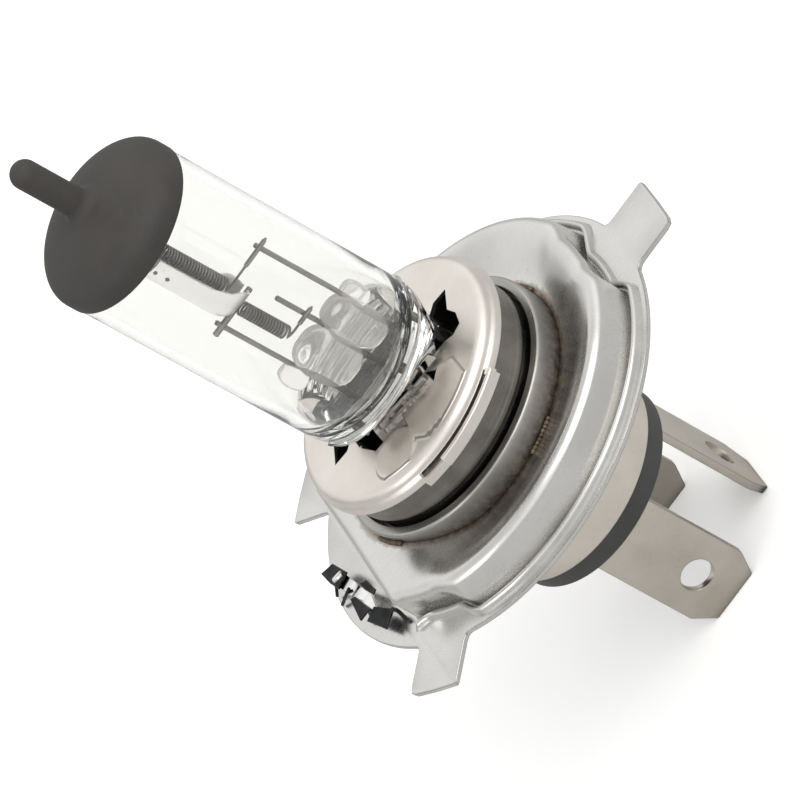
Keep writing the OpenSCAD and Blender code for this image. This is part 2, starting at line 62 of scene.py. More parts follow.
def put_in(name, data):
    """An object of that data, linked into the scene."""
    made = bpy.data.objects.new(name, data)
    bpy.context.scene.collection.objects.link(made)
    return made


# ---------------------------------------------------------------- camera, floor and light

VIEW_TURNS = (14.26, 31.72, 61.04)
VIEW_AIM = (-1.6, -1.8, 8.1)
VIEW_DISTANCE = 718.6
VIEW_LENS = 360


def place_camera():
    """Looks down on the bulb from in front of its right terminal, rolled so that the tip points left."""
    azimuth, elevation, roll = (math.radians(a) for a in VIEW_TURNS)
    level = math.cos(elevation)
    back = Vector((level * math.cos(azimuth), level * math.sin(azimuth), math.sin(elevation)))
    level_right = Vector((-math.sin(azimuth), math.cos(azimuth), 0))
    level_up = back.cross(level_right)
    right = level_right * math.cos(roll) - level_up * math.sin(roll)
    up = level_right * math.sin(roll) + level_up * math.cos(roll)
    data = bpy.data.cameras.new("camera")
    data.sensor_width = 36
    data.lens = VIEW_LENS
    data.clip_start = 0.01
    data.clip_end = 20
    camera = put_in("camera", data)
    for column, axis in enumerate((right, up, back, (Vector(VIEW_AIM) + back * VIEW_DISTANCE) * MM)):
        for row in range(3):
            camera.matrix_world[row][column] = axis[row]
    bpy.context.scene.camera = camera


def new_material(name):
    material = bpy.data.materials.new(name)
    material.use_nodes = True
    tree = material.node_tree
    return material, tree, tree.nodes["Principled BSDF"]


def add(tree, kind, inputs=(), **settings):
    """A node of that kind, with its settings made and its inputs set to values or linked to sockets."""
    node = tree.nodes.new(kind)
    for name, value in settings.items():
        setattr(node, name, value)
    for name, value in dict(inputs).items():
        if isinstance(value, bpy.types.NodeSocket):
            tree.links.new(value, node.inputs[name])
        else:
            node.inputs[name].default_value = value
    return node


FLOOR_PALE = (0.93, 0.93, 0.925)
FLOOR_PALER = (0.96, 0.96, 0.955)
FLOOR_IN_METAL = (0.56, 0.56, 0.555)
FLOOR_GLOW = (0.2, 0.2, 0.2)
FLOOR_HALF = 3.0
FLOOR_GAP = 0.00002


def lay_floor():
    """A pale floor under the terminals' tips, which looks greyer when it is mirrored in the metal."""
    material, tree, shader = new_material("pale_floor")
    tone = blend_colours(tree, noise(tree, here(tree), 3.0, 2.0), FLOOR_PALE, FLOOR_PALER)
    ray = add(tree, "ShaderNodeLightPath").outputs
    seen = math_node(tree, "MAXIMUM", ray["Is Camera Ray"], ray["Is Transmission Ray"])
    tree.links.new(blend_colours(tree, seen, FLOOR_IN_METAL, tone), shader.inputs["Base Color"])
    tree.links.new(blend_colours(tree, seen, (0, 0, 0), FLOOR_GLOW), shader.inputs["Emission Color"])
    shader.inputs["Emission Strength"].default_value = 1.0
    shader.inputs["Roughness"].default_value = 0.9
    shader.inputs["Specular IOR Level"].default_value = 0.2
    mesh = bpy.data.meshes.new("floor")
    height = cad_box[0].z - FLOOR_GAP
    corners = [(x * FLOOR_HALF, y * FLOOR_HALF, height) for x, y in ((-1, -1), (1, -1), (1, 1), (-1, 1))]
    mesh.from_pydata(corners, [], [(0, 1, 2, 3)])
    mesh.materials.append(material)
    put_in("floor", mesh)


TENT_LEVELS = ((0.0, 0.42), (0.15, 0.52), (0.42, 0.86), (0.6, 0.92), (0.8, 0.7), (1.0, 0.62))
TENT_LEAN = (1.0, 1.35)
SOFT_BOXES = (
    ("key_box", (0.35, 0.5, 0.65), (0.9, 0.9), 3.4),
    ("side_box", (0.5, -0.65, 0.35), (0.3, 0.5), 0.8),
)
LIGHT_AIM = (0, 0, 0.01)


def light_studio():
    """A white tent that darkens towards the horizon, with two soft boxes."""
    world = bpy.data.worlds.new("studio_tent")
    bpy.context.scene.world = world
    world.use_nodes = True
    tree = world.node_tree
    parts = split(tree, add(tree, "ShaderNodeTexCoord").outputs["Generated"])
    ramp = add(tree, "ShaderNodeValToRGB", {"Fac": parts["Z"]})
    while len(ramp.color_ramp.elements) < len(TENT_LEVELS):
        ramp.color_ramp.elements.new(0.5)
    for element, (position, level) in zip(ramp.color_ramp.elements, TENT_LEVELS):
        element.position = position
        element.color = (level, level, level * 0.99, 1)
    backdrop = tree.nodes["Background"].inputs
    tree.links.new(ramp.outputs["Color"], backdrop["Color"])
    tree.links.new(ranged(tree, parts["Y"], -1.0, 1.0, *TENT_LEAN), backdrop["Strength"])
    for name, place, size, power in SOFT_BOXES:
        data = bpy.data.lights.new(name, "AREA")
        data.shape = "RECTANGLE"
        data.size, data.size_y = size
        data.energy = power
        lamp = put_in(name, data)
        lamp.location = place
        lamp.rotation_mode = "QUATERNION"
        lamp.rotation_quaternion = (Vector(place) - Vector(LIGHT_AIM)).to_track_quat("Z", "Y")
    bpy.context.scene.view_settings.view_transform = "Standard"


# ---------------------------------------------------------------- shader groups

def new_group(name, inputs, outputs):
    """A shader node group with its named sockets, and the nodes that stand for them inside."""
    tree = bpy.data.node_groups.new(name, "ShaderNodeTree")
    kinds = {1: "NodeSocketFloat", 3: "NodeSocketVector", 4: "NodeSocketColor"}
    for socket, default in inputs.items():
        kind = kinds[len(default) if isinstance(default, tuple) else 1]
        tree.interface.new_socket(socket, in_out="INPUT", socket_type=kind).default_value = default
    for socket in outputs:
        kind = "NodeSocketColor" if socket == "Tint" else "NodeSocketFloat"
        tree.interface.new_socket(socket, in_out="OUTPUT", socket_type=kind)
    return tree, tree.nodes.new("NodeGroupInput").outputs, tree.nodes.new("NodeGroupOutput").inputs


def math_node(tree, operation, *values, clamp=False):
    node = add(tree, "ShaderNodeMath", operation=operation, use_clamp=clamp)
    for slot, value in zip(node.inputs, values):
        if isinstance(value, bpy.types.NodeSocket):
            tree.links.new(value, slot)
        else:
            slot.default_value = value
    return node.outputs[0]


def blend_colours(tree, mask, first, second):
    """The first colour, going over to the second where the mask says. Each is a colour or a socket."""
    mix = add(tree, "ShaderNodeMix", {"Factor": mask}, data_type="RGBA")
    for socket, colour in ((mix.inputs["A"], first), (mix.inputs["B"], second)):
        if isinstance(colour, bpy.types.NodeSocket):
            tree.links.new(colour, socket)
        else:
            socket.default_value = (*colour, 1)
    return mix.outputs["Result"]


def ranged(tree, value, low, high, to_low=0.0, to_high=1.0):
    return add(tree, "ShaderNodeMapRange", {
        "Value": value, "From Min": low, "From Max": high, "To Min": to_low, "To Max": to_high
    }).outputs["Result"]


def here(tree):
    """The place on the piece, in its own frame."""
    return add(tree, "ShaderNodeTexCoord").outputs["Object"]


def split(tree, vector):
    return add(tree, "ShaderNodeSeparateXYZ", {"Vector": vector}).outputs


def noise(tree, place, scale, detail, roughness=0.5):
    return add(tree, "ShaderNodeTexNoise", {
        "Vector": place, "Scale": scale, "Detail": detail, "Roughness": roughness
    }).outputs["Fac"]


def from_axis(tree, parts):
    """The distance from the bulb's axis."""
    flat = add(tree, "ShaderNodeCombineXYZ", {"X": parts["X"], "Y": parts["Y"]})
    return add(tree, "ShaderNodeVectorMath", {0: flat.outputs[0]}, operation="LENGTH").outputs["Value"]


def nearness(tree, value, middle, reach):
    """1 where the value is at the middle, falling to 0 at the reach away from it."""
    away = math_node(tree, "ABSOLUTE", math_node(tree, "SUBTRACT", value, middle))
    return math_node(tree, "SUBTRACT", 1.0, math_node(tree, "DIVIDE", away, reach), clamp=True)


def make_drawn_grain():
    """Fine streaks along one way of the metal, as rolling or drawing leaves them."""
    tree, given, out = new_group(
        "drawn_grain", {"Stretch": (1.0, 1.0, 0.05), "Scale": 9000.0}, ("Height", "Mask"))
    pulled = add(tree, "ShaderNodeVectorMath", {0: here(tree), 1: given["Stretch"]}, operation="MULTIPLY")
    streaks = noise(tree, pulled.outputs[0], given["Scale"], 4.0, 0.6)
    tree.links.new(streaks, out["Height"])
    tree.links.new(ranged(tree, streaks, 0.3, 0.7), out["Mask"])
    return tree


def make_turned_grain():
    """Fine rings about the bulb's axis, as turning and spinning leave them."""
    tree, given, out = new_group("turned_grain", {"Pitch": 0.12}, ("Height", "Mask"))
    parts = split(tree, here(tree))
    unrolled = add(tree, "ShaderNodeCombineXYZ", {
        "X": math_node(tree, "DIVIDE", from_axis(tree, parts), MM),
        "Y": math_node(tree, "DIVIDE", parts["Z"], MM),
        "Z": math_node(tree, "MULTIPLY", math_node(tree, "ARCTAN2", parts["Y"], parts["X"]), 0.15),
    })
    rings = noise(tree, unrolled.outputs[0], math_node(tree, "DIVIDE", 1.0, given["Pitch"]), 3.0, 0.55)
    tree.links.new(rings, out["Height"])
    tree.links.new(ranged(tree, rings, 0.3, 0.7), out["Mask"])
    return tree


def make_handling_marks():
    """Soft clouds of handling and storage, with small specks."""
    tree, given, out = new_group(
        "handling_marks", {"Cloud Size": 0.004, "Speck Size": 0.0006}, ("Clouds", "Specks"))
    for mark, size, detail, roughness, low, high in (
        ("Clouds", "Cloud Size", 3.0, 0.5, 0.35, 0.65), ("Specks", "Speck Size", 2.0, 0.7, 0.62, 0.74),
    ):
        spread = noise(tree, here(tree), math_node(tree, "DIVIDE", 1.0, given[size]), detail, roughness)
        tree.links.new(ranged(tree, spread, low, high), out[mark])
    return tree


def make_edge_shade_and_wear():
    """A mask of a piece's edges, from how far the surface turns within a small width. A darker edge colour
    laid on it is painted shade along the edges; a lighter one lightens them.
    """
    tree, given, out = new_group("edge_shade_and_wear", {"Width": 0.00012}, ("Mask",))
    true = add(tree, "ShaderNodeNewGeometry").outputs["Normal"]
    rounded = add(tree, "ShaderNodeBevel", {"Radius": given["Width"]}, samples=4)
    pair = {0: true, 1: rounded.outputs["Normal"]}
    same = add(tree, "ShaderNodeVectorMath", pair, operation="DOT_PRODUCT").outputs["Value"]
    tree.links.new(ranged(tree, same, 0.998, 0.93), out["Mask"])
    return tree


def make_heat_tint():
    """The brown and straw bloom of heat round a circular joint, in broken patches."""
    tree, given, out = new_group("heat_tint", {
        "Radius": 0.0133, "Reach": 0.0009, "Height": 0.0026, "Height Reach": 0.002,
        "Burnt": (0.09, 0.06, 0.045, 1), "Straw": (0.42, 0.33, 0.22, 1),
    }, ("Mask", "Tint"))
    parts = split(tree, here(tree))
    patches = noise(tree, here(tree), 1600.0, 3.0, 0.7)
    reach = math_node(tree, "MULTIPLY", given["Reach"], ranged(tree, patches, 0.2, 0.8, 0.35, 1.6))
    near = nearness(tree, from_axis(tree, parts), given["Radius"], reach)
    level = nearness(tree, parts["Z"], given["Height"], given["Height Reach"])
    tree.links.new(math_node(tree, "POWER", math_node(tree, "MULTIPLY", near, level), 0.6), out["Mask"])
    tint = blend_colours(tree, ranged(tree, patches, 0.38, 0.68), given["Burnt"], given["Straw"])
    tree.links.new(tint, out["Tint"])
    return tree


def make_crevice_shade():
    """A mask of the narrow places between surfaces, from ambient occlusion, where painted shade darkens the
    colour.
    """
    tree, given, out = new_group("painted_crevice_shade", {"Distance": 0.0006, "Onset": 0.62}, ("Mask",))
    open_sky = add(tree, "ShaderNodeAmbientOcclusion", {"Distance": given["Distance"]}, samples=6)
    tree.links.new(ranged(tree, open_sky.outputs["AO"], given["Onset"], 0.2), out["Mask"])
    return tree


def make_pressed_slope_shade():
    """A mask of the slopes of pressed details on a level face, out to a radius from the axis, for painted
    shade that darkens the colour by the slope's tilt.
    """
    tree, given, out = new_group(
        "pressed_slope_shade", {"Radius": 0.0113, "Level": 0.985, "Steep": 0.75}, ("Mask",))
    upward = split(tree, add(tree, "ShaderNodeTexCoord").outputs["Normal"])["Z"]
    slope = ranged(tree, upward, given["Level"], given["Steep"])
    within = math_node(tree, "LESS_THAN", from_axis(tree, split(tree, here(tree))), given["Radius"])
    tree.links.new(math_node(tree, "MULTIPLY", slope, within), out["Mask"])
    return tree


DRAWN_GRAIN = make_drawn_grain()
TURNED_GRAIN = make_turned_grain()
HANDLING_MARKS = make_handling_marks()
EDGE_SHADE_AND_WEAR = make_edge_shade_and_wear()
HEAT_TINT = make_heat_tint()
CREVICE_SHADE = make_crevice_shade()
PRESSED_SLOPE_SHADE = make_pressed_slope_shade()


def use_group(tree, group, **values):
    node = tree.nodes.new("ShaderNodeGroup")
    node.node_tree = group
    for name, value in values.items():
        node.inputs[name.replace("_", " ")].default_value = value
    return node.outputs


# ---------------------------------------------------------------- materials

def shaded(colour, share):
    return tuple(c * share for c in colour)


def bump(tree, shader, height, depth):
    """Lets the height stand out of the surface by the depth, in metres."""
    raised = add(tree, "ShaderNodeBump", {"Height": height, "Strength": 1.0, "Distance": depth})
    tree.links.new(raised.outputs["Normal"], shader.inputs["Normal"])


def sheet_metal(name, colour, cloudy, grain, depth, rough, speck=0.25, edge=None, edge_width=0.00012,
                clouds=0.004, heat=None, crevice_shade_strength=0.0, crevice_shade_reach=0.0006, lines=0.0):
    """A metal with grain, clouds and specks, and where given: an edge colour, which is painted shade where
    it is darker; heat tint; painted shade on the slopes of pressed lines; painted shade in crevices.
    """
    material, tree, shader = new_material(name)
    shader.inputs["Metallic"].default_value = 1.0
    marks = use_group(tree, HANDLING_MARKS, Cloud_Size=clouds)
    tone = blend_colours(tree, marks["Clouds"], colour, cloudy)
    specks = math_node(tree, "MULTIPLY", marks["Specks"], speck)
    tone = blend_colours(tree, specks, tone, shaded(colour, 0.35))
    # edge colour: a darker one is painted shade along the edges
    if edge:
        tone = blend_colours(tree, use_group(tree, EDGE_SHADE_AND_WEAR, Width=edge_width)["Mask"], tone, edge)
    if heat:
        bloom = use_group(tree, HEAT_TINT, **heat)
        tone = blend_colours(tree, bloom["Mask"], tone, bloom["Tint"])
    # painted shade: the slopes of pressed details are darkened by how steeply they tilt
    if lines:
        shaded_slopes = math_node(tree, "MULTIPLY", use_group(tree, PRESSED_SLOPE_SHADE)["Mask"], lines)
        tone = blend_colours(tree, shaded_slopes, tone, shaded(colour, 0.12))
    # painted shade: narrow places and crevices are darkened from ambient occlusion
    if crevice_shade_strength:
        narrow = use_group(tree, CREVICE_SHADE, Distance=crevice_shade_reach)["Mask"]
        tone = blend_colours(tree, math_node(tree, "MULTIPLY", narrow, crevice_shade_strength), tone, shaded(colour, 0.05))
    tree.links.new(tone, shader.inputs["Base Color"])
    uneven = math_node(tree, "ADD", math_node(tree, "MULTIPLY", grain(tree)["Mask"], 0.5),
                       math_node(tree, "MULTIPLY", marks["Clouds"], 0.5))
    roughness = ranged(tree, uneven, 0.0, 1.0, *rough)
    if heat:
        roughness = math_node(tree, "ADD", roughness, math_node(tree, "MULTIPLY", bloom["Mask"], 0.25))
    tree.links.new(roughness, shader.inputs["Roughness"])
    bump(tree, shader, grain(tree)["Height"], depth)
    return material


def along(x, y, z, scale=9000.0):
    """Drawn grain that is long where the given share is small."""
    return lambda tree: use_group(tree, DRAWN_GRAIN, Stretch=(x, y, z), Scale=scale)


def turned(pitch=0.12):
    return lambda tree: use_group(tree, TURNED_GRAIN, Pitch=pitch)


def clear_glass(name, tint, waviness, smear, bend=1.48, clear=1.0):
    """Smooth glass with the faint draw lines and smears that bend what is seen through it."""
    material, tree, shader = new_material(name)
    shader.inputs["Transmission Weight"].default_value = clear
    shader.inputs["IOR"].default_value = bend
    marks = use_group(tree, HANDLING_MARKS, Cloud_Size=0.006, Speck_Size=0.0003)
    tone = blend_colours(tree, marks["Clouds"], tint, shaded(tint, 0.99))
    tree.links.new(tone, shader.inputs["Base Color"])
    tree.links.new(ranged(tree, marks["Clouds"], 0.0, 1.0, 0.0, smear), shader.inputs["Roughness"])
    lines = use_group(tree, DRAWN_GRAIN, Stretch=(1.0, 1.0, 0.03), Scale=500.0)
    bump(tree, shader, lines["Height"], waviness)
    return material


def dull_coat(name, colour, worn, grit_size, depth, rough, edge=None):
    """A matt coat or moulding: fine grit, faint clouds and rubbed edges."""
    material, tree, shader = new_material(name)
    marks = use_group(tree, HANDLING_MARKS, Cloud_Size=0.005, Speck_Size=grit_size)
    tone = blend_colours(tree, marks["Clouds"], colour, worn)
    tone = blend_colours(tree, math_node(tree, "MULTIPLY", marks["Specks"], 0.5), tone, shaded(worn, 1.5))
    if edge:
        tone = blend_colours(tree, use_group(tree, EDGE_SHADE_AND_WEAR, Width=0.0002)["Mask"], tone, edge)
    tree.links.new(tone, shader.inputs["Base Color"])
    tree.links.new(ranged(tree, marks["Clouds"], 0.0, 1.0, *rough), shader.inputs["Roughness"])
    shader.inputs["Specular IOR Level"].default_value = 0.4
    grit = use_group(tree, DRAWN_GRAIN, Stretch=(1.0, 1.0, 1.0), Scale=1.0 / grit_size)
    bump(tree, shader, grit["Height"], depth)
    return material


FINISH = {
    "clear_glass": clear_glass("tube_glass", (0.9, 0.9, 0.885), 0.000002, 0.01),
    "bridge_glass": clear_glass("pressed_glass", (0.95, 0.935, 0.92), 0.0000005, 0.04, 1.1, 0.8),
    "black_coating": dull_coat("dark_cap_coat", (0.044, 0.04, 0.037), (0.058, 0.053, 0.049), 0.0002,
                               0.000012, (0.6, 0.75)),
    "tungsten": sheet_metal("coiled_tungsten", (0.17, 0.16, 0.15), (0.25, 0.24, 0.23),
                            along(1, 1, 1, 6000.0), 0.000004, (0.4, 0.6)),
    "molybdenum": sheet_metal("grey_foil", (0.2, 0.195, 0.18), (0.32, 0.31, 0.29), along(1, 1, 0.05),
                              0.000002, (0.3, 0.5)),
    "wire_steel": sheet_metal("drawn_wire", (0.2, 0.19, 0.17), (0.28, 0.27, 0.24), along(1, 1, 0.03),
                              0.000003, (0.3, 0.5)),
    # painted shade: the dark edge colour
    "shield_metal": sheet_metal("shield_sheet", (0.88, 0.87, 0.84), (0.93, 0.92, 0.9),
                                along(1, 1, 0.05, 5000.0), 0.000003, (0.3, 0.5), edge=(0.45, 0.44, 0.42)),
    # painted shade: the dark edge colour and the darkened crevices
    "polished_clip": sheet_metal("polished_spring", (0.82, 0.82, 0.81), (0.88, 0.88, 0.87),
                                 along(0.05, 1, 1, 3000.0), 0.000003, (0.04, 0.14), clouds=0.002,
                                 edge=(0.2, 0.2, 0.2), crevice_shade_strength=0.95, crevice_shade_reach=0.0008),
    # painted shade: the darkened crevices and pressed slopes
    "nickel_plate": sheet_metal("warm_nickel", (0.78, 0.73, 0.68), (0.84, 0.8, 0.75),
                                along(1, 1, 1, 2500.0), 0.000002, (0.3, 0.42), speck=0.1,
                                edge=(0.86, 0.83, 0.78), crevice_shade_strength=0.9, lines=0.85),
    "dark_sleeve": sheet_metal("dark_sleeve_steel", (0.17, 0.16, 0.145), (0.25, 0.235, 0.215), turned(0.2),
                               0.000003, (0.22, 0.38), speck=0.1),
    # painted shade: the darkened crevices
    "collar_steel": sheet_metal("collar_steel", (0.38, 0.37, 0.35), (0.46, 0.45, 0.42), turned(0.1),
                                0.000005, (0.22, 0.4), edge=(0.6, 0.6, 0.58), crevice_shade_strength=0.8,
                                heat={"Radius": 0.0129, "Reach": 0.0008, "Height": 0.0027,
                                      "Height_Reach": 0.0024, "Burnt": (0.03, 0.025, 0.021, 1),
                                      "Straw": (0.13, 0.105, 0.085, 1)}),
    "weld_metal": sheet_metal("weld_metal", (0.09, 0.07, 0.055), (0.2, 0.16, 0.12), along(1, 1, 1, 4000.0),
                              0.00002, (0.35, 0.6), clouds=0.0008),
    # painted shade: the dark edge colour and the darkened crevices
    "stamped_steel": sheet_metal("pressed_stainless", (0.66, 0.65, 0.63), (0.73, 0.72, 0.7),
                                 along(1, 0.25, 1, 3500.0), 0.0000002, (0.2, 0.33), speck=0.12,
                                 edge=(0.2, 0.19, 0.18), edge_width=0.00018, clouds=0.006, crevice_shade_strength=0.7,
                                 heat={"Radius": 0.0131, "Reach": 0.00055, "Height": 0.003,
                                       "Height_Reach": 0.003}),
    # painted shade: the catch's leaves are coloured near-black for the shade on them
    "dark_spring": sheet_metal("catch_spring_painted_shade", (0.008, 0.009, 0.009), (0.03, 0.032, 0.031),
                               along(0.1, 1, 1, 4000.0), 0.000002, (0.14, 0.3), edge=(0.05, 0.05, 0.05),
                               clouds=0.0012),
    "shell_plate": sheet_metal("plated_shell", (0.8, 0.74, 0.66), (0.86, 0.8, 0.73), turned(0.25),
                               0.000002, (0.26, 0.4), speck=0.1),
    "black_insulator": dull_coat("moulded_insulator", (0.05, 0.052, 0.05), (0.066, 0.068, 0.064), 0.00025,
                                 0.000008, (0.45, 0.6), edge=(0.09, 0.09, 0.085)),
    "lead_wire": sheet_metal("plated_lead", (0.5, 0.47, 0.42), (0.6, 0.57, 0.52), along(1, 1, 0.03),
                             0.000003, (0.3, 0.5)),
    # painted shade: the dark edge colour and the darkened crevices
    "terminal_plate": sheet_metal("nickelled_blade", (0.66, 0.61, 0.54), (0.72, 0.67, 0.6),
                                  along(1, 1, 0.06, 5000.0), 0.000003, (0.26, 0.42), speck=0.12,
                                  edge=(0.3, 0.28, 0.26), edge_width=0.00016, crevice_shade_strength=0.95,
                                  crevice_shade_reach=0.002),
}


# ---------------------------------------------------------------- mesh helpers

def finish_piece(name, mesh, slot, stands_for, smooth_angle=35):
    """Shades the mesh, gives it its finish, and lets it ride in place of its CAD nodes."""
    mesh.name = name
    mesh.polygons.foreach_set("use_smooth", [True] * len(mesh.polygons))
    mesh.set_sharp_from_angle(angle=math.radians(smooth_angle))
    mesh.materials.clear()
    mesh.materials.append(FINISH[slot])
    piece = put_in(name, mesh)
    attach(piece, "root")
    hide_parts(*stands_for)
    return piece


def mesh_from(name, bm, near=1e-8):
    """The mesh of the bmesh, with its doubled points joined and its faces turned outwards."""
    bmesh.ops.remove_doubles(bm, verts=bm.verts, dist=near)
    bmesh.ops.recalc_face_normals(bm, faces=bm.faces)
    mesh = bpy.data.meshes.new(name)
    bm.to_mesh(mesh)
    bm.free()
    return mesh


def finish_bm(name, bm, *finish):
    """Finishes the piece that the bmesh holds."""
    return finish_piece(name, mesh_from(name, bm), *finish)


def built(holder):
    """The mesh of a helper object with its modifiers applied. The helper goes."""
    mesh = bpy.data.meshes.new_from_object(holder.evaluated_get(bpy.context.evaluated_depsgraph_get()))
    bpy.data.objects.remove(holder)
    return mesh


def polar(r, a, z):
    return (r * math.cos(a), r * math.sin(a), z)


def rotated(x, y, a):
    return (x * math.cos(a) - y * math.sin(a), x * math.sin(a) + y * math.cos(a))


def signed_power(value, power):
    return math.copysign(abs(value) ** power, value)


def arc(cx, cy, r, a0, a1, steps=8, ry=None):
    """Points of a round stretch of an outline, from angle a0 to a1 in degrees."""
    ry = r if ry is None else ry
    angles = [math.radians(a0 + (a1 - a0) * i / steps) for i in range(steps + 1)]
    return [(cx + r * math.cos(a), cy + ry * math.sin(a)) for a in angles]


def loft(bm, rings, closed=True, capped=True):
    """Skins rings of equally many points, in millimetres. A closed ring joins its end to its start."""
    rows = [[bm.verts.new(Vector(p) * MM) for p in ring] for ring in rings]
    for low, high in zip(rows, rows[1:]):
        count = len(low)
        for i in range(count if closed else count - 1):
            k = (i + 1) % count
            bm.faces.new((low[i], low[k], high[k], high[i]))
    if capped:
        bm.faces.new(list(reversed(rows[0])))
        bm.faces.new(rows[-1])
    return rows


def turn(bm, outline, start=0.0, end=360.0, steps=TURN_STEPS):
    """Turns a closed outline of (radius, height) about the axis, all round or between two angles."""
    full = abs(end - start) >= 360
    count = steps if full else steps + 1
    angles = [math.radians(start + (end - start) * i / steps) for i in range(count)]
    rings = [[polar(r, a, z) for r, z in outline] for a in angles]
    if full:
        rings.append(rings[0])
    loft(bm, rings, closed=True, capped=not full)


def turned_piece(name, outline, slot, stands_for, smooth_angle=35):
    bm = bmesh.new()
    turn(bm, outline)
    return finish_bm(name, bm, slot, stands_for, smooth_angle)


def rounded_route(points, bend, steps=6):
    """The route with each corner replaced by a curve that starts the bend length before it."""
    points = [Vector(p) for p in points]
    route = [points[0]]
    for before, corner, after in zip(points, points[1:], points[2:]):
        reach = min(bend, (corner - before).length / 2, (after - corner).length / 2)
        start = corner + (before - corner).normalized() * reach
        end = corner + (after - corner).normalized() * reach
        for i in range(steps + 1):
            t = i / steps
            route.append(start * (1 - t) ** 2 + corner * 2 * t * (1 - t) + end * t ** 2)
    route.append(points[-1])
    return route


def rod(bm, route, radius, sides=16, end_round=0.3):
    """A round rod along a route of points, with its ends slightly rounded."""
    route = [Vector(p) for p in route]
    ways = [(b - a).normalized() for a, b in zip(route, route[1:])]
    ways = [ways[0]] + [(a + b).normalized() for a, b in zip(ways, ways[1:])] + [ways[-1]]
    side = ways[0].orthogonal().normalized()
    rings = []
    for point, way in zip(route, ways):
        side = (side - way * side.dot(way)).normalized()
        other = way.cross(side)
        rings.append([
            point + (side * math.cos(a) + other * math.sin(a)) * radius
            for a in (FULL_TURN * k / sides for k in range(sides))
        ])
    for place, way in ((0, -ways[0]), (-1, ways[-1])):
        centre, ring = route[place], rings[place]
        drawn_in = [
            [centre + (p - centre) * math.cos(t) + way * radius * end_round * math.sin(t) for p in ring]
            for t in (math.pi / 6, math.pi / 3, 1.45)
        ]
        rings = list(reversed(drawn_in)) + rings if place == 0 else rings + drawn_in
    loft(bm, rings)


def smooth_step(t):
    t = min(1.0, max(0.0, t))
    return t * t * (3 - 2 * t)


# ---------------------------------------------------------------- glass

TUBE_R = 8.1
TUBE_WALL = 0.9
DOME_Z = 43.9
DOME_RISE = 3.6
TIP_R = 1.25
TIP_Z = 55.1
NECK_ROUND = 1.15
COAT_EDGE_Z = 42.8
PINCH_HALF_X = 1.6
PINCH_HALF_Y = 6.5
COAT_T = 0.12
COAT_GAP = 0.01

FOOT_STEPS = (
    (PINCH_HALF_X, PINCH_HALF_Y, 6, 9.6), (PINCH_HALF_X + 0.15, PINCH_HALF_Y, 5, 10.6),
    (PINCH_HALF_X + 0.7, PINCH_HALF_Y + 0.1, 4, 11.5), (3.4, 6.75, 3.2, 12.2), (4.6, 7.05, 2.7, 12.8),
    (5.8, 7.35, 2.35, 13.4), (6.8, 7.65, 2.15, 14.0), (7.5, 7.88, 2.05, 14.6), (7.9, 8.02, 2.0, 15.1),
)


def foot_step(z):
    """The glass foot's half widths and roundness at a height."""
    for low, high in zip(FOOT_STEPS, FOOT_STEPS[1:]):
        if z <= high[3]:
            break
    t = max(0.0, min(1.0, (z - low[3]) / (high[3] - low[3])))
    return [a + (b - a) * t for a, b in zip(low[:3], high[:3])]


def tip_outline(grow=0.0):
    """Dome and sealed tip from the tube's wall up to the axis, as (radius, height)."""
    reach = TUBE_R + grow
    dome = arc(0, DOME_Z, reach, 0, 72.5, 24, DOME_RISE + grow)
    neck = arc(TIP_R + grow + NECK_ROUND, dome[-1][1] + NECK_ROUND, NECK_ROUND, 262, 180, 10)
    end = arc(0, TIP_Z - TIP_R, TIP_R + grow, 0, 89, 10)
    return dome + neck + end


def oval(half_x, half_y, power, z, count=96):
    """A ring between a circle and a rounded slab, by its power."""
    ring = []
    for k in range(count):
        a = FULL_TURN * k / count
        c, s = math.cos(a), math.sin(a)
        ring.append((signed_power(c, 2 / power) * half_x, signed_power(s, 2 / power) * half_y, z))
    return ring


def build_glass_tube():
    """The glass between its outside and its hollow, whose faces look at the axis."""
    pinch = [(PINCH_HALF_X - 0.3, PINCH_HALF_Y - 0.3, 6, 3.0), (PINCH_HALF_X, PINCH_HALF_Y, 6, 3.3)]
    pinch += [*FOOT_STEPS, (TUBE_R, TUBE_R, 2, 15.7)]
    wall = [(TUBE_R, 20.0), (TUBE_R, 27.0), (TUBE_R, 34.0), (TUBE_R, 40.0)]
    inner_r = TUBE_R - TUBE_WALL
    inside = [(0.05, 14.9), (2.0, 14.85), (4.0, 14.8), (5.4, 15.0), (6.3, 15.5), (6.85, 16.2), (7.12, 17.0),
              (inner_r, 18.0)]
    inside += [(inner_r, z) for z in (24, 30, 36, 41)]
    inside += arc(0, DOME_Z, inner_r, 0, 89, 20, DOME_RISE - TUBE_WALL)
    bm = bmesh.new()
    loft(bm, [oval(*step) for step in pinch] + [oval(r, r, 2, z) for r, z in wall + tip_outline()])
    bmesh.ops.recalc_face_normals(bm, faces=bm.faces)
    outer_faces = set(bm.faces)
    loft(bm, [oval(r, r, 2, z) for r, z in inside])
    hollow = [face for face in bm.faces if face not in outer_faces]
    bmesh.ops.recalc_face_normals(bm, faces=hollow)
    bmesh.ops.reverse_faces(bm, faces=hollow)
    mesh = bpy.data.meshes.new("glass_tube")
    bm.to_mesh(mesh)
    bm.free()
    tube = finish_piece("glass_tube", mesh, "clear_glass", ["glass_envelope"], 50)
    tube.visible_shadow = False


def build_dark_cap():
    outer = [(TUBE_R + COAT_T - 0.04, COAT_EDGE_Z), (TUBE_R + COAT_T, COAT_EDGE_Z + 0.05)]
    outer += tip_outline(COAT_T)
    inner = list(reversed(tip_outline(COAT_GAP))) + [(TUBE_R + COAT_GAP, COAT_EDGE_Z)]
    turned_piece("dark_cap", outer + inner, "black_coating", ["top_coating"], 60)


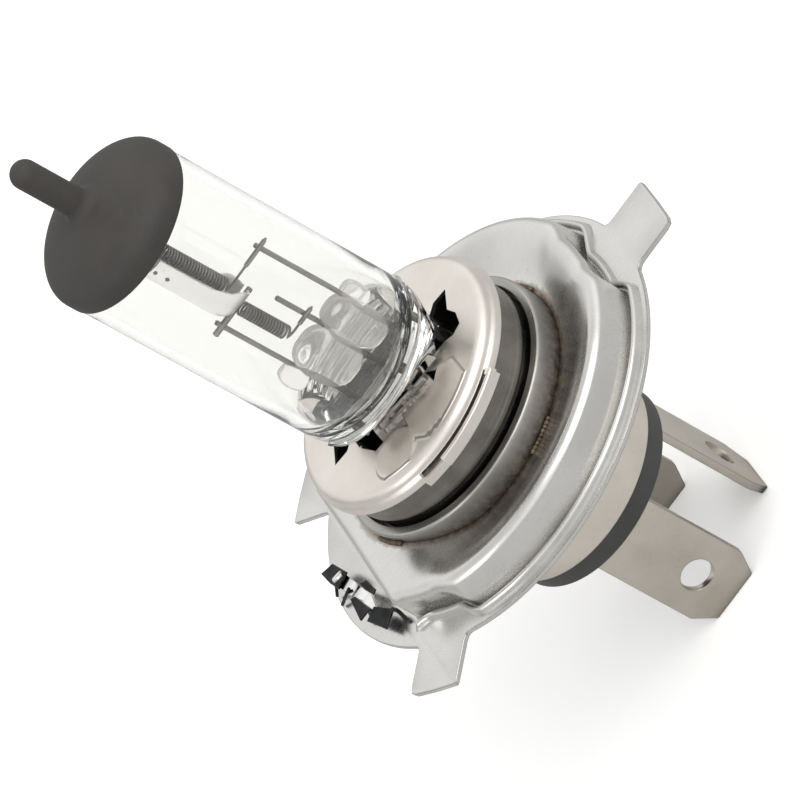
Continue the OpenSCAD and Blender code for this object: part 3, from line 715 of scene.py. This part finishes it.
BRIDGE_Z = 19.5
WIRE_Y = (4.5, 1.3, -3.35)
WIRE_TOP_Z = (31.1, 26.1, 29.6)
WIRE_JOG = (-0.3, -0.5, 0.25)
WIRE_R = 0.25
WIRE_FOOT_Z = 11.4
JOG_HALF = 0.6
SHEATH_T = 0.07


def lump(bm, centre, half, steps=24):
    """A rounded drop of glass with the given half sizes."""
    start = set(bm.verts)
    bmesh.ops.create_uvsphere(bm, u_segments=steps, v_segments=steps // 2, radius=1.0)
    for v in set(bm.verts) - start:
        v.co = Vector([signed_power(c, 0.72) * h + m for c, h, m in zip(v.co, half, centre)]) * MM


def build_bridge_bead():
    """Two pressed blocks of glass with a small drop at each end, which hold the wires apart."""
    bm = bmesh.new()
    for y, z, half in (
        (2.85, 18.2, (1.7, 1.95, 3.3)), (-1.05, 18.2, (1.7, 2.5, 3.3)),
        (5.15, BRIDGE_Z + 0.3, (1.05, 0.95, 1.5)), (-4.3, BRIDGE_Z + 0.3, (1.05, 1.05, 1.5)),
    ):
        lump(bm, (0, y, z), half, 72)
    bead = finish_bm("bridge_bead", bm, "bridge_glass", ["glass_bridge"], 180)
    bead.visible_shadow = False


# ---------------------------------------------------------------- wires, coils and shield

def build_support_wires():
    """Three wires with a jog in the bridge and a thicker sheath below it."""
    for i, (name, node) in enumerate((
        ("upper_wire", "upper_support_wire"), ("middle_wire", "middle_support_wire"),
        ("lower_wire", "lower_support_wire"),
    )):
        y, jog = WIRE_Y[i], WIRE_JOG[i]
        route = rounded_route([
            (0, y, WIRE_TOP_Z[i]), (0, y, BRIDGE_Z + JOG_HALF),
            (0, y + jog, BRIDGE_Z - JOG_HALF), (0, y + jog, WIRE_FOOT_Z),
        ], 0.5)
        bm = bmesh.new()
        rod(bm, route, WIRE_R)
        sheath = [(0, y + jog, BRIDGE_Z - 2 * JOG_HALF), (0, y + jog, WIRE_FOOT_Z + 0.1)]
        rod(bm, sheath, WIRE_R + SHEATH_T)
        finish_bm(name, bm, "wire_steel", [node], 60)


COIL_R = 0.63
STRAND_R = 0.12
LEG_X = 0.55
LEG_DROP = 0.26


def coil_route(y, z, length, turns, leg_y):
    """A coil about a line along Z, whose lower end runs out as a straight leg along Y."""
    steps = 20
    helix = [
        Vector((COIL_R * math.cos(FULL_TURN * i / steps), y + COIL_R * math.sin(FULL_TURN * i / steps),
                z + length * i / (turns * steps)))
        for i in range(turns * steps + 1)
    ]
    low = z - LEG_DROP
    joint = helix[0] + Vector((0.0, -0.2, -0.06))
    return rounded_route([(LEG_X, leg_y, low), (LEG_X, y + 0.45, low), joint], 0.4, 4) + helix[1:]


def build_coils():
    for name, y, z, length, turns, leg_y, nodes, crimp, crimp_node, crimp_y in (
        ("low_coil", 0.0, 31.2, 7.2, 22, 5.6, ["low_beam_filament", "low_beam_leg"],
         "low_crimp", "low_beam_crimp", (2.6, 5.4)),
        ("high_coil", -1.05, 23.2, 5.2, 16, 2.3, ["high_beam_filament", "high_beam_leg"],
         "high_crimp", "high_beam_crimp", (0.4, 2.1)),
    ):
        bm = bmesh.new()
        rod(bm, coil_route(y, z, length, turns, leg_y), STRAND_R, 8)
        finish_bm(name, bm, "tungsten", nodes, 70)
        bm = bmesh.new()
        rod(bm, [(LEG_X, end, z - LEG_DROP) for end in crimp_y], 0.22, 16, 0.15)
        finish_bm(crimp, bm, "molybdenum", [crimp_node], 60)


SHIELD_HALF_X = 2.1
SHIELD_DEPTH = 2.45
SHIELD_RIM_Y = -0.35
SHIELD_T = 0.2
SHIELD_Z = (29.2, 39.2)


SHIELD_SWELL = (
    (0.25, 0.0), (0.45, 0.02), (0.62, 0.12), (0.76, 0.3), (0.87, 0.58), (0.94, 0.95), (0.98, 1.4),
    (1.0, 2.0), (1.0, 4.0), (1.0, 7.0),
)
SHIELD_STEPS = 40
SHIELD_REAR_RISE = 1.15
WELD_DOT_R = 0.2
CARRIER_R = 0.3


def build_shield():
    """A half-round trough with a low wall at its rear, two weld dots, and the rod that carries it."""
    rear, front = SHIELD_Z
    rings = []
    for share, z in [(share, rear + rise) for share, rise in SHIELD_SWELL] + [(1.0, front)]:
        rise = SHIELD_REAR_RISE * (1 - smooth_step((z - rear - 0.9) / 2.0))
        ring = []
        for i in range(SHIELD_STEPS + 1):
            a = math.pi + math.pi * i / SHIELD_STEPS
            y = SHIELD_RIM_Y + SHIELD_DEPTH * share * math.sin(a)
            ring.append((SHIELD_HALF_X * share * math.cos(a), y + rise * (1 + math.sin(a)) ** 2, z))
        rings.append(ring)
    bm = bmesh.new()
    loft(bm, rings, closed=False, capped=False)
    holder = put_in("shield_raw", mesh_from("shield_trough", bm))
    thick = holder.modifiers.new("sheet", "SOLIDIFY")
    thick.thickness = SHIELD_T * MM
    thick.offset = -1
    rim = holder.modifiers.new("rim", "BEVEL")
    rim.width = 0.06 * MM
    rim.segments = 2
    rim.limit_method = "ANGLE"
    finish_piece("shield_trough", built(holder), "shield_metal", ["low_beam_shield"], 40)

    bm = bmesh.new()
    a = math.radians(-30)
    way = Vector((math.cos(a), math.sin(a), 0))
    for z in (front - 0.5, front - 1.9):
        centre = Vector((SHIELD_HALF_X * math.cos(a), SHIELD_RIM_Y + SHIELD_DEPTH * math.sin(a), z))
        rod(bm, [centre - way * 0.03, centre + way * 0.08], WELD_DOT_R, 14)
    finish_bm("shield_weld_dots", bm, "tungsten", [], 50)

    bm = bmesh.new()
    rod(bm, [(0, 0.9, rear - CARRIER_R), (0, -4.4, rear - CARRIER_R)], CARRIER_R, 20)
    finish_bm("carrier_rod", bm, "wire_steel", ["shield_rod"], 50)


# ---------------------------------------------------------------- holder

DISC_R = 12.3
DISC_Z = 11.4
SKIRT_Z = 9.4
SLEEVE_R = 11.6
COLLAR_R = 12.9
COLLAR_Z = 5.35
WELD_STRETCHES = 4
WELD_START = 15
WELD_SPAN = 16
WELD_LUMPS = 9


def build_sleeve_and_collar():
    turned_piece("sleeve_wall", [
        (SLEEVE_R - 0.5, 1.2), (SLEEVE_R - 0.05, 1.2), (SLEEVE_R, 1.3), (SLEEVE_R, 5.8),
        (SLEEVE_R + 0.05, 5.95), (SLEEVE_R + 0.18, 6.25), (SLEEVE_R + 0.2, 6.5), (SLEEVE_R + 0.18, 6.75),
        (SLEEVE_R + 0.05, 7.05), (SLEEVE_R, 7.2), (SLEEVE_R, 10.0), (SLEEVE_R - 0.15, 10.5),
        (SLEEVE_R - 0.5, 10.8),
    ], "dark_sleeve", ["holder_sleeve"])
    turned_piece("focus_ring", [
        (COLLAR_R, 1.2), (COLLAR_R, COLLAR_Z - 0.3), *arc(COLLAR_R - 0.3, COLLAR_Z - 0.3, 0.3, 0, 90, 6),
        *arc(SLEEVE_R + 0.45, COLLAR_Z - 0.15, 0.15, 90, 180, 4), (SLEEVE_R + 0.3, 3.4), (SLEEVE_R, 3.4),
        (SLEEVE_R, 1.2),
    ], "collar_steel", ["focusing_collar"])
    bm = bmesh.new()
    for k in range(WELD_STRETCHES):
        for i in range(WELD_LUMPS):
            a = math.radians(WELD_START + 90 * k + WELD_SPAN * (i + 0.5) / WELD_LUMPS)
            swell = 0.26 + 0.05 * math.sin(3.1 * i + k)
            lump(bm, polar(COLLAR_R + 0.12, a, BOSS_Z - dish_depth(a) + 0.05), (swell, swell, swell), 12)
    finish_bm("weld_beads", bm, "weld_metal", ["collar_welds"], 60)


def inside_by(x, y, outline):
    """How far a point lies inside a convex outline that runs anticlockwise; negative when outside."""
    depth = 99.0
    for (ax, ay), (bx, by) in zip(outline, outline[1:] + outline[:1]):
        along_x, along_y = bx - ax, by - ay
        depth = min(depth, (along_x * (y - ay) - along_y * (x - ax)) / math.hypot(along_x, along_y))
    return depth


def beside(x, y, start, end):
    """How far a point lies from a straight line between two points."""
    line = Vector(end) - Vector(start)
    t = max(0.0, min(1.0, (Vector((x, y)) - Vector(start)).dot(line) / line.length_squared))
    return (Vector((x, y)) - Vector(start) - line * t).length


PANEL = [
    (5.3, 4.6), (5.4, -1.2), (9.4, -1.6), (11.0, -0.4), (11.35, 2.4), (10.7, 5.0), (9.5, 6.3), (6.4, 6.2),
]
PAD = (8.3, -3.7)
PAD_R = 2.75
RIBS = (((5.0, 2.5), (3.7, -3.2)), ((6.1, 2.2), (4.9, -3.0)))
SLOT = [(-3.7, -6.3), (2.9, -6.3), (3.7, 6.3), (-2.9, 6.3)]
SLOT_END = [
    (-0.2, 5.6), (3.4, 5.6), (4.2, 7.2), (3.9, 8.4), (2.3, 8.7), (0.9, 8.2), (-1.4, 9.2), (-1.6, 7.5),
]
SIDE_NOTCH = [(4.2, 3.0), (6.6, 3.3), (5.7, 4.3)]
CORNER_HOLE = [(2.3, -4.3), (2.3, -5.6), (3.2, -6.2), (5.4, -5.2), (5.5, -4.1)]
DISC_STEPS = 480
DISC_ROUND = 0.95
DISC_T = 0.5


def face_height(x, y):
    """How far the panel, round pad and ribs on either side stand out of the disc's face at a point."""
    height = 0.0
    for side in (1, -1):
        px, py = x * side, y * side
        if px < 2.0:
            continue
        height = max(height, 0.28 * smooth_step(inside_by(px, py, PANEL) / 0.3))
        height = max(height, 0.24 * smooth_step((PAD_R - math.hypot(px - PAD[0], py - PAD[1])) / 0.3))
        for start, end in RIBS:
            height = max(height, 0.42 * smooth_step((0.46 - beside(px, py, start, end)) / 0.22))
    return height


EAR_START = -16
EAR_SPAN = 52


def beside_ear(angle):
    """How far an angle in degrees lies inside either ear's stretch; negative when outside."""
    half = EAR_SPAN / 2
    return max(half - abs((angle - EAR_START - half - side + 180) % 360 - 180) for side in (0, 180))


def build_disc():
    """A pressed disc with a rounded rim and a short skirt, which is cut away behind the two ears."""
    radii = [0.2, 1.0] + [1.6 + 0.15 * i for i in range(65)]
    rim = arc(DISC_R - DISC_ROUND, DISC_Z - DISC_ROUND, DISC_ROUND, 90, 4, 10)
    skirt = [(DISC_R + 0.06, SKIRT_Z + 1.0), (DISC_R + 0.2, SKIRT_Z + 0.8), (DISC_R + 0.3, SKIRT_Z + 0.6),
             (DISC_R + 0.32, SKIRT_Z + 0.08), (DISC_R + 0.25, SKIRT_Z)]
    under = [(DISC_R - 0.1, SKIRT_Z), (DISC_R - 0.15, SKIRT_Z + 0.6)]
    under += arc(DISC_R - 1.05, DISC_Z - 1.05, 0.8, 12, 90, 6)
    under += [(6.0, DISC_Z - DISC_T), (0.2, DISC_Z - DISC_T)]
    turns = [FULL_TURN * k / DISC_STEPS for k in range(DISC_STEPS)]
    rings = [[polar(r, a, DISC_Z + face_height(*polar(r, a, 0)[:2])) for a in turns] for r in radii]
    short_z = DISC_Z - 1.1
    for r, z in rim + skirt + under:
        ring = []
        for a in turns:
            cut_away = smooth_step(beside_ear(math.degrees(a)) / 0.8 + 0.5) if z < short_z else 0.0
            drawn_r = r + (min(r, DISC_R - 0.12) - r) * cut_away
            ring.append(polar(drawn_r, a, z + (short_z - z) * cut_away))
        rings.append(ring)
    bm = bmesh.new()
    loft(bm, rings)
    disc = put_in("pressed_disc_raw", mesh_from("pressed_disc", bm))
    bm = bmesh.new()
    mirrored = [[(-x, -y) for x, y in outline] for outline in (SLOT_END, SIDE_NOTCH)]
    for outline in (SLOT, SLOT_END, mirrored[0], SIDE_NOTCH, mirrored[1], CORNER_HOLE):
        loft(bm, [[(x, y, z) for x, y in outline] for z in (DISC_Z - 2, DISC_Z + 2)])
    cutter = put_in("slot_cutter", mesh_from("slot_cutter", bm))
    cut = disc.modifiers.new("slot", "BOOLEAN")
    cut.operation = "DIFFERENCE"
    cut.object = cutter
    cut.use_self = True
    finish_piece("pressed_disc", built(disc), "nickel_plate", ["holder_disc"], 30)
    bpy.data.objects.remove(cutter)


def build_ears():
    """Two strips welded to the disc's skirt, each with a lower step at its start and a stop at its end."""
    bm = bmesh.new()
    inner, outer, low, high = DISC_R + 0.58, DISC_R + 1.05, SKIRT_Z - 0.25, DISC_Z - 1.0
    strip = [(inner, low), (outer - 0.08, low), (outer, low + 0.08), (outer, high - 0.2),
             *arc(outer - 0.2, high - 0.2, 0.2, 0, 90, 4), (inner + 0.06, high), (inner, high - 0.06)]
    for start in (EAR_START, EAR_START + 180):
        turn(bm, strip, start + 12, start + EAR_SPAN, 60)
        turn(bm, [(r - 0.12, min(z, high - 0.35)) for r, z in strip], start, start + 12, 12)
        turn(bm, [(DISC_R - 0.3, low + 0.5), (outer - 0.1, low + 0.5), (outer - 0.1, high - 0.1),
                  (DISC_R - 0.3, high - 0.1)], start + EAR_SPAN - 2, start + EAR_SPAN + 1, 4)
    finish_bm("disc_ears", bm, "nickel_plate", ["disc_tab"])


def slab_between(bm, start, end, thick, z0, z1, lean=0.0):
    """An upright strip from one point to another, leaning outwards by the given amount at its top."""
    line = (Vector(end) - Vector(start)).normalized()
    out = Vector((line.y, -line.x))
    if out.dot(Vector(start)) < 0:
        out = -out
    rows = []
    for z, push in ((z0, 0.0), ((z0 + z1) / 2, lean * 0.35), (z1 - 0.06, lean), (z1, lean)):
        shrink = 0.04 if z == z1 else 0.0
        near, far = out * (push + shrink), out * (push + thick - shrink)
        corners = (Vector(start) + near, Vector(end) + near, Vector(end) + far, Vector(start) + far)
        rows.append([(p.x, p.y, z) for p in corners])
    loft(bm, rows)


CAGE_SPAN = 62.0
CAGE_STEPS = 110
CAGE_ROWS = 28
CAGE_TOP_Z = 15.3
CAGE_FALL = 3.4
CAGE_GAP = 0.26
CAGE_RIPPLE = 0.2


def build_spring_cage():
    """The polished cage at the tube's foot: a rippled band, upright leaves and a shelf on either side."""
    bm = bmesh.new()
    for middle in (5.0, 185.0):
        rings = []
        for i in range(CAGE_STEPS + 1):
            off = -CAGE_SPAN + 2 * CAGE_SPAN * i / CAGE_STEPS
            a = math.radians(middle + off)
            c, s = math.cos(a), math.sin(a)
            fade = smooth_step((CAGE_SPAN - abs(off)) / 16 + 0.1)
            wave = 0.05 * math.sin(math.radians(off) * 3.0)
            outer, inner = [], []
            for k in range(CAGE_ROWS + 1):
                z = CAGE_TOP_Z - CAGE_FALL * fade * k / CAGE_ROWS
                half_x, half_y, power = foot_step(z)
                ripple = CAGE_RIPPLE * math.sin(k * 1.05 + wave * 18) * min(1.0, k / 4)
                x = signed_power(c, 2 / power) * (half_x + CAGE_GAP + ripple)
                y = signed_power(s, 2 / power) * (half_y + CAGE_GAP + ripple)
                outer.append((x, y, z + wave))
                inner.append((x * 0.985 - 0.05 * c, y * 0.985 - 0.05 * s, z + wave))
            rings.append(outer + inner[::-1])
        loft(bm, rings)
    for side in (1, -1):
        for (x0, y0), (x1, y1), thick, z0, z1, lean in (
            ((1.7, -5.6), (1.7, 5.6), 0.3, 6.0, 11.9, 0.0),
            ((4.5, 4.9), (4.1, 1.5), 0.25, 11.7, 12.9, 0.45),
            ((3.95, 0.85), (3.3, -2.5), 0.25, 11.7, 12.9, 0.45),
            ((3.1, -3.1), (2.9, -4.6), 0.25, 11.2, 12.5, 0.2),
        ):
            slab_between(bm, (x0 * side, y0 * side), (x1 * side, y1 * side), thick, z0, z1, lean)
        shelf = [(x * side, y * side) for x, y in ((1.9, -5.4), (2.7, -5.0), (3.4, 5.0), (1.9, 5.4))]
        loft(bm, [[(x, y, z) for x, y in shelf] for z in (11.1, 11.3)])
    finish_bm("spring_cage", bm, "polished_clip", ["pinch_clip"], 40)


# ---------------------------------------------------------------- flange

RING_R = 21.36
RING_T = 0.5
BOSS_R = 19.6
BOSS_Z = 4.3
BOSS_FLAT = 15.6
BOSS_T = 0.7
BOSS_STEPS = 480
BORE_R = 16.2
LUG_REACH = 26.2
LUG_ANGLES = (90, -45, -135)
LUG_WIDTHS = (7.8, 6.3, 6.3)
LUG_DIP = 1.9
LIP_SPAN = (-57.5, 237.5)
LIP_FOOT_Z = -0.3


def lug_dip(angle):
    """How strongly the boss wall is drawn in at an angle: 1 at a lug, 0 well away from all three."""
    dip = 0.0
    for lug, width in zip(LUG_ANGLES, LUG_WIDTHS):
        off = (angle - math.radians(lug) + math.pi) % FULL_TURN - math.pi
        dip = max(dip, 1 - smooth_step((abs(off) * BOSS_R - width / 2 + 1.2) / 3.5))
    return dip


def dish_depth(angle):
    """The face is dished away from the flat side and nearly level beside it."""
    off = abs((angle - math.radians(-90) + math.pi) % FULL_TURN - math.pi)
    return 0.12 + 1.58 * smooth_step((math.degrees(off) - 28) / 52)


def softer_of(a, b, blend):
    """The smaller of two values, with a rounded change from one to the other."""
    share = max(0.0, min(1.0, 0.5 + 0.5 * (b - a) / blend))
    return b + (a - b) * share - blend * share * (1 - share)


def boss_reach(angle, dip_share=1.0):
    """The boss wall's distance from the axis: drawn in at the lugs by a share of the dip, with one flat."""
    reach = BOSS_R - LUG_DIP * dip_share * lug_dip(angle)
    down = -math.sin(angle)
    return softer_of(reach, BOSS_FLAT / down, 0.7) if down > 0.3 else reach


def build_boss():
    """A dished face inside a round shoulder and an upright wall, pressed from one sheet."""
    wall = [(0.35, -0.1, 1.0), (0.1, 0.15, 1.0), (0.0, 0.6, 0.97), (-0.02, 1.4, 0.88), (-0.05, 2.2, 0.72),
            (-0.12, 2.9, 0.56)]
    wall += [(-1.1 + r, z, 0.42) for r, z in arc(0, BOSS_Z - 1.0, 0.97, 15, 90, 10, 1.0)]
    inner_r = COLLAR_R + 0.35
    seat_r = COLLAR_R + 0.02
    rings = []
    for k in range(BOSS_STEPS + 1):
        a = FULL_TURN * (k % BOSS_STEPS) / BOSS_STEPS
        section = [(boss_reach(a, share) + r, z) for r, z, share in wall]
        crown_r = section[-1][0]
        depth = dish_depth(a)
        floor_z = BOSS_Z - depth
        for t in (i / 14 for i in range(1, 15)):
            section.append((crown_r + (inner_r - crown_r) * t, BOSS_Z - depth * smooth_step(t)))
        section += [(seat_r, floor_z), (seat_r, floor_z - BOSS_T), (inner_r, floor_z - BOSS_T)]
        section += [(crown_r - 0.4, BOSS_Z - BOSS_T - 0.1), (crown_r + 0.3, BOSS_Z - 1.3),
                    (boss_reach(a) - BOSS_T, 0.4), (boss_reach(a) - BOSS_T, -0.1)]
        rings.append([polar(r, a, z) for r, z in section])
    bm = bmesh.new()
    loft(bm, rings, closed=True, capped=False)
    finish_bm("boss_shell", bm, "stamped_steel", ["boss_plate"], 50)


def flange_outline():
    """The ring with its lugs, anticlockwise, with rounded roots and corners."""
    points = []
    order = sorted(zip(LUG_ANGLES, LUG_WIDTHS))
    for index, (lug, width) in enumerate(order):
        half = width / 2
        root = math.degrees(math.asin(half / RING_R))
        root_x = RING_R * math.cos(math.radians(root + 1.2))
        outline = [
            (root_x, -half - 0.45), (RING_R - 0.05, -half - 0.1), (RING_R + 0.45, -half),
            (LUG_REACH - 1.0, -half), (LUG_REACH - 0.35, -half + 0.2), (LUG_REACH - 0.12, -half + 0.8),
            (LUG_REACH, 0), (LUG_REACH, half - 0.3), (LUG_REACH - 0.1, half - 0.08),
            (LUG_REACH - 0.3, half), (RING_R + 0.45, half), (RING_R - 0.05, half + 0.1),
            (root_x, half + 0.45),
        ]
        points += [rotated(x, y, math.radians(lug)) for x, y in outline]
        following, next_width = order[(index + 1) % len(order)]
        begin = lug + root + 2.4
        finish = following + (360 if index == len(order) - 1 else 0)
        finish -= math.degrees(math.asin(next_width / 2 / RING_R)) + 2.4
        steps = max(4, int((finish - begin) / 2))
        points += arc(0, 0, RING_R, begin, finish, steps)
    return points


def stamped_plate(name, outlines, z0, z1, bevel):
    """A flat stamping with softened edges; the first outline is its border and the others are holes."""
    curve = bpy.data.curves.new(name, "CURVE")
    curve.dimensions = "2D"
    curve.fill_mode = "BOTH"
    curve.extrude = (z1 - z0) / 2 * MM - bevel * MM
    curve.bevel_depth = bevel * MM
    curve.bevel_resolution = 2
    curve.offset = -bevel * MM
    for outline in outlines:
        spline = curve.splines.new("POLY")
        spline.points.add(len(outline) - 1)
        for point, (x, y) in zip(spline.points, outline):
            point.co = (x * MM, y * MM, 0, 1)
        spline.use_cyclic_u = True
    bm = bmesh.new()
    bm.from_mesh(built(put_in(name + "_raw", curve)))
    for vertex in bm.verts:
        vertex.co.z += (z0 + z1) / 2 * MM
    return mesh_from(name, bm, 1e-7)


def build_flange():
    bore = arc(0, 0, BORE_R, 0, 360 - 360 / 128, 127)
    plate = stamped_plate("flange_ring", [flange_outline(), bore], -RING_T, 0, 0.08)
    finish_piece("flange_ring", plate, "stamped_steel", ["lug_ring"], 30)


def build_lip():
    """A raised lip between the boss and the ring, which is lower at the lugs and open at the flat side."""
    lip = [(0.04, LIP_FOOT_Z), (0.06, 0.22), (0.36, 0.26), (0.48, 0.56), (0.56, 0.76), (0.68, 0.85),
           (0.86, 0.85), (0.98, 0.76), (1.06, 0.5), (1.14, 0.2), (1.24, 0.03), (1.3, LIP_FOOT_Z)]
    rings = []
    first, last = LIP_SPAN
    steps = int((last - first) * 2)
    for i in range(steps + 1):
        angle = first + (last - first) * i / steps
        a = math.radians(angle)
        waist = BOSS_R - LUG_DIP * lug_dip(a)
        rise = smooth_step(min(angle - first, last - angle) / 3.0 + 0.1) * (1 - 0.25 * lug_dip(a))
        rings.append([polar(waist + r, a, LIP_FOOT_Z + (z - LIP_FOOT_Z) * rise) for r, z in lip])
    bm = bmesh.new()
    loft(bm, rings)
    finish_bm("flange_lip", bm, "stamped_steel", [], 50)


def folded_leaf(bm, corners, thick=0.22):
    """A flat leaf of sheet with the given top corners, in millimetres."""
    top = [Vector(c) for c in corners]
    middle = sum(top, Vector()) / len(top)
    rim = [p + (middle - p).normalized() * 0.05 for p in top]
    low = [p - Vector((0, 0, thick)) for p in top]
    loft(bm, [low, [p - Vector((0, 0, 0.05)) for p in top], rim])


def build_catch():
    """A spring strip bent into loops along the flat side: leaves coloured near-black as painted shade,
    joined by bright saddles.
    """
    bm = bmesh.new()
    for corners in (
        [(-5.5, -20.7, 1.3), (-3.4, -20.5, 1.3), (-1.7, -20.1, 1.3), (-2.0, -18.4, 1.5), (-4.7, -19.1, 1.5)],
        [(0.9, -18.0, 1.5), (2.2, -17.9, 1.5), (3.7, -17.5, 1.5), (3.5, -17.0, 1.5), (1.5, -17.2, 1.5)],
        [(0.8, -19.7, 1.25), (3.7, -20.2, 0.9), (4.3, -18.6, 1.25), (1.4, -19.1, 1.4)],
        [(5.0, -19.6, 1.1), (8.2, -18.5, 1.1), (7.5, -16.7, 1.3), (4.9, -18.1, 1.4)],
    ):
        folded_leaf(bm, corners)
    rod(bm, rounded_route([(7.3, -16.8, 1.2), (8.2, -16.45, 1.2), (9.0, -16.6, 0.2)], 0.4), 0.2, 10)
    rod(bm, rounded_route([(-0.7, -19.3, 1.0), (-0.9, -20.0, 0.7), (-1.1, -21.1, 0.25)], 0.3), 0.16, 10)
    rod(bm, [(-2.4, -20.1, 1.2), (-2.6, -21.0, 0.3)], 0.16, 10)
    # painted shade: the leaves take the near-black finish
    finish_bm("catch_leaves", bm, "dark_spring", ["retaining_clip"], 30)

    bm = bmesh.new()
    rod(bm, [(-2.9, -19.9, 1.3), (-2.5, -18.9, 1.4)], 0.36, 20)
    saddle = [(-2.4, -19.4, 1.2), (-1.6, -19.3, 0.9), (-0.6, -19.1, 0.75), (0.6, -18.9, 1.0),
              (1.4, -18.6, 1.25), (2.6, -18.2, 1.15), (4.6, -18.7, 0.9), (5.2, -18.9, 1.1)]
    rings = []
    for x, y, z in saddle:
        wide = 0.62 - 0.02 * x
        rings.append([(x, y - wide, z), (x, y + wide, z), (x, y + wide, z - 0.25), (x, y - wide, z - 0.25)])
    loft(bm, rings)
    finish_bm("catch_saddle", bm, "polished_clip", [], 50)


# ---------------------------------------------------------------- base and terminals

SHELL_R = 10.3
SHELL_FOOT_Z = -10.7
INSULATOR_R = 9.95
INSULATOR_FOOT_Z = -12.9
BLADE_W = 7.8
BLADE_T = 0.8
BLADE_TIP_Z = -26.9
BLADE_TOP_Z = -2.8
BLADE_OFFSET = 8.5
HOLE_R = 1.6
HOLE_BACK = 4.8
TIP_CUT = (1.3, 2.4)
CORNER_CUT = 0.12
SHELL_T = 0.45


def build_base():
    turned_piece("shell_cup", [
        (SHELL_R - SHELL_T, SHELL_FOOT_Z + 0.55),
        *arc(SHELL_R - 0.22, SHELL_FOOT_Z + 0.22, 0.22, 180, 360, 8),
        (SHELL_R, -2.6), *arc(SHELL_R + 0.9, -2.2, 0.9, 180, 118, 5),
        (SHELL_R + 1.3, -1.36), (17.0, -1.2), (18.0, -0.95), (18.0, -0.52), (SHELL_R + 0.8, -0.52),
        (SHELL_R - SHELL_T, -2.3),
    ], "shell_plate", ["base_shell"])
    foot, top = INSULATOR_FOOT_Z, -4.4
    turned_piece("insulator_block", [
        (0.02, foot + 1.4), (5.2, foot + 1.4), (5.5, foot + 1.1), (5.7, foot + 0.05), (5.9, foot),
        (INSULATOR_R - 0.35, foot), *arc(INSULATOR_R - 0.3, foot + 0.3, 0.3, -80, 0, 6),
        (INSULATOR_R, SHELL_FOOT_Z - 0.02), (9.5, SHELL_FOOT_Z), (9.5, SHELL_FOOT_Z + 0.5),
        (9.84, SHELL_FOOT_Z + 0.6), (9.84, top), (0.02, top),
    ], "black_insulator", ["insulator"])


def blade_outline():
    """One terminal seen flat on: x across, y up its length, with cut corners at the tip."""
    half = BLADE_W / 2
    across, shoulder_z = TIP_CUT[0], BLADE_TIP_Z + TIP_CUT[1]
    corners = [(-half + across, BLADE_TIP_Z), (half - across, BLADE_TIP_Z), (half, shoulder_z),
               (half, BLADE_TOP_Z), (-half, BLADE_TOP_Z), (-half, shoulder_z)]
    outline = []
    for i, corner in enumerate(corners):
        before, after = Vector(corners[i - 1]), Vector(corners[(i + 1) % len(corners)])
        at = Vector(corner)
        outline += [tuple(at + (other - at).normalized() * CORNER_CUT) for other in (before, after)]
    return outline


def build_blades():
    for name, node, turn_deg in (
        ("top_blade", "upper_terminal", 0), ("right_blade", "right_terminal", -90),
        ("left_blade", "left_terminal", 90),
    ):
        hole = arc(0, BLADE_TIP_Z + HOLE_BACK, HOLE_R, 0, 360 - 7.5, 47)
        mesh = stamped_plate(name, [blade_outline(), hole], -BLADE_T / 2, BLADE_T / 2, 0.07)
        for vertex in mesh.vertices:
            x, up, out = vertex.co
            vertex.co = (*rotated(x, BLADE_OFFSET * MM + out, math.radians(turn_deg)), up)
        finish_piece(name, mesh, "terminal_plate", [node], 30)


def finish_carried_nodes():
    """Gives each CAD node that is still shown the finish of its slot."""
    slots = {row["node"]: row["material_slot"] for row in frame["record"]["subparts"]}
    for name, node in frame["nodes"].items():
        if node.hide_render:
            continue
        finish = FINISH[slots[name]]
        if not node.material_slots:
            node.data.materials.append(finish)
        for holder in node.material_slots:
            holder.material = finish


place_camera()
lay_floor()
light_studio()
build_glass_tube()
build_dark_cap()
build_bridge_bead()
build_support_wires()
build_coils()
build_shield()
build_sleeve_and_collar()
build_disc()
build_ears()
build_spring_cage()
build_boss()
build_flange()
build_lip()
build_catch()
build_base()
build_blades()
finish_carried_nodes()
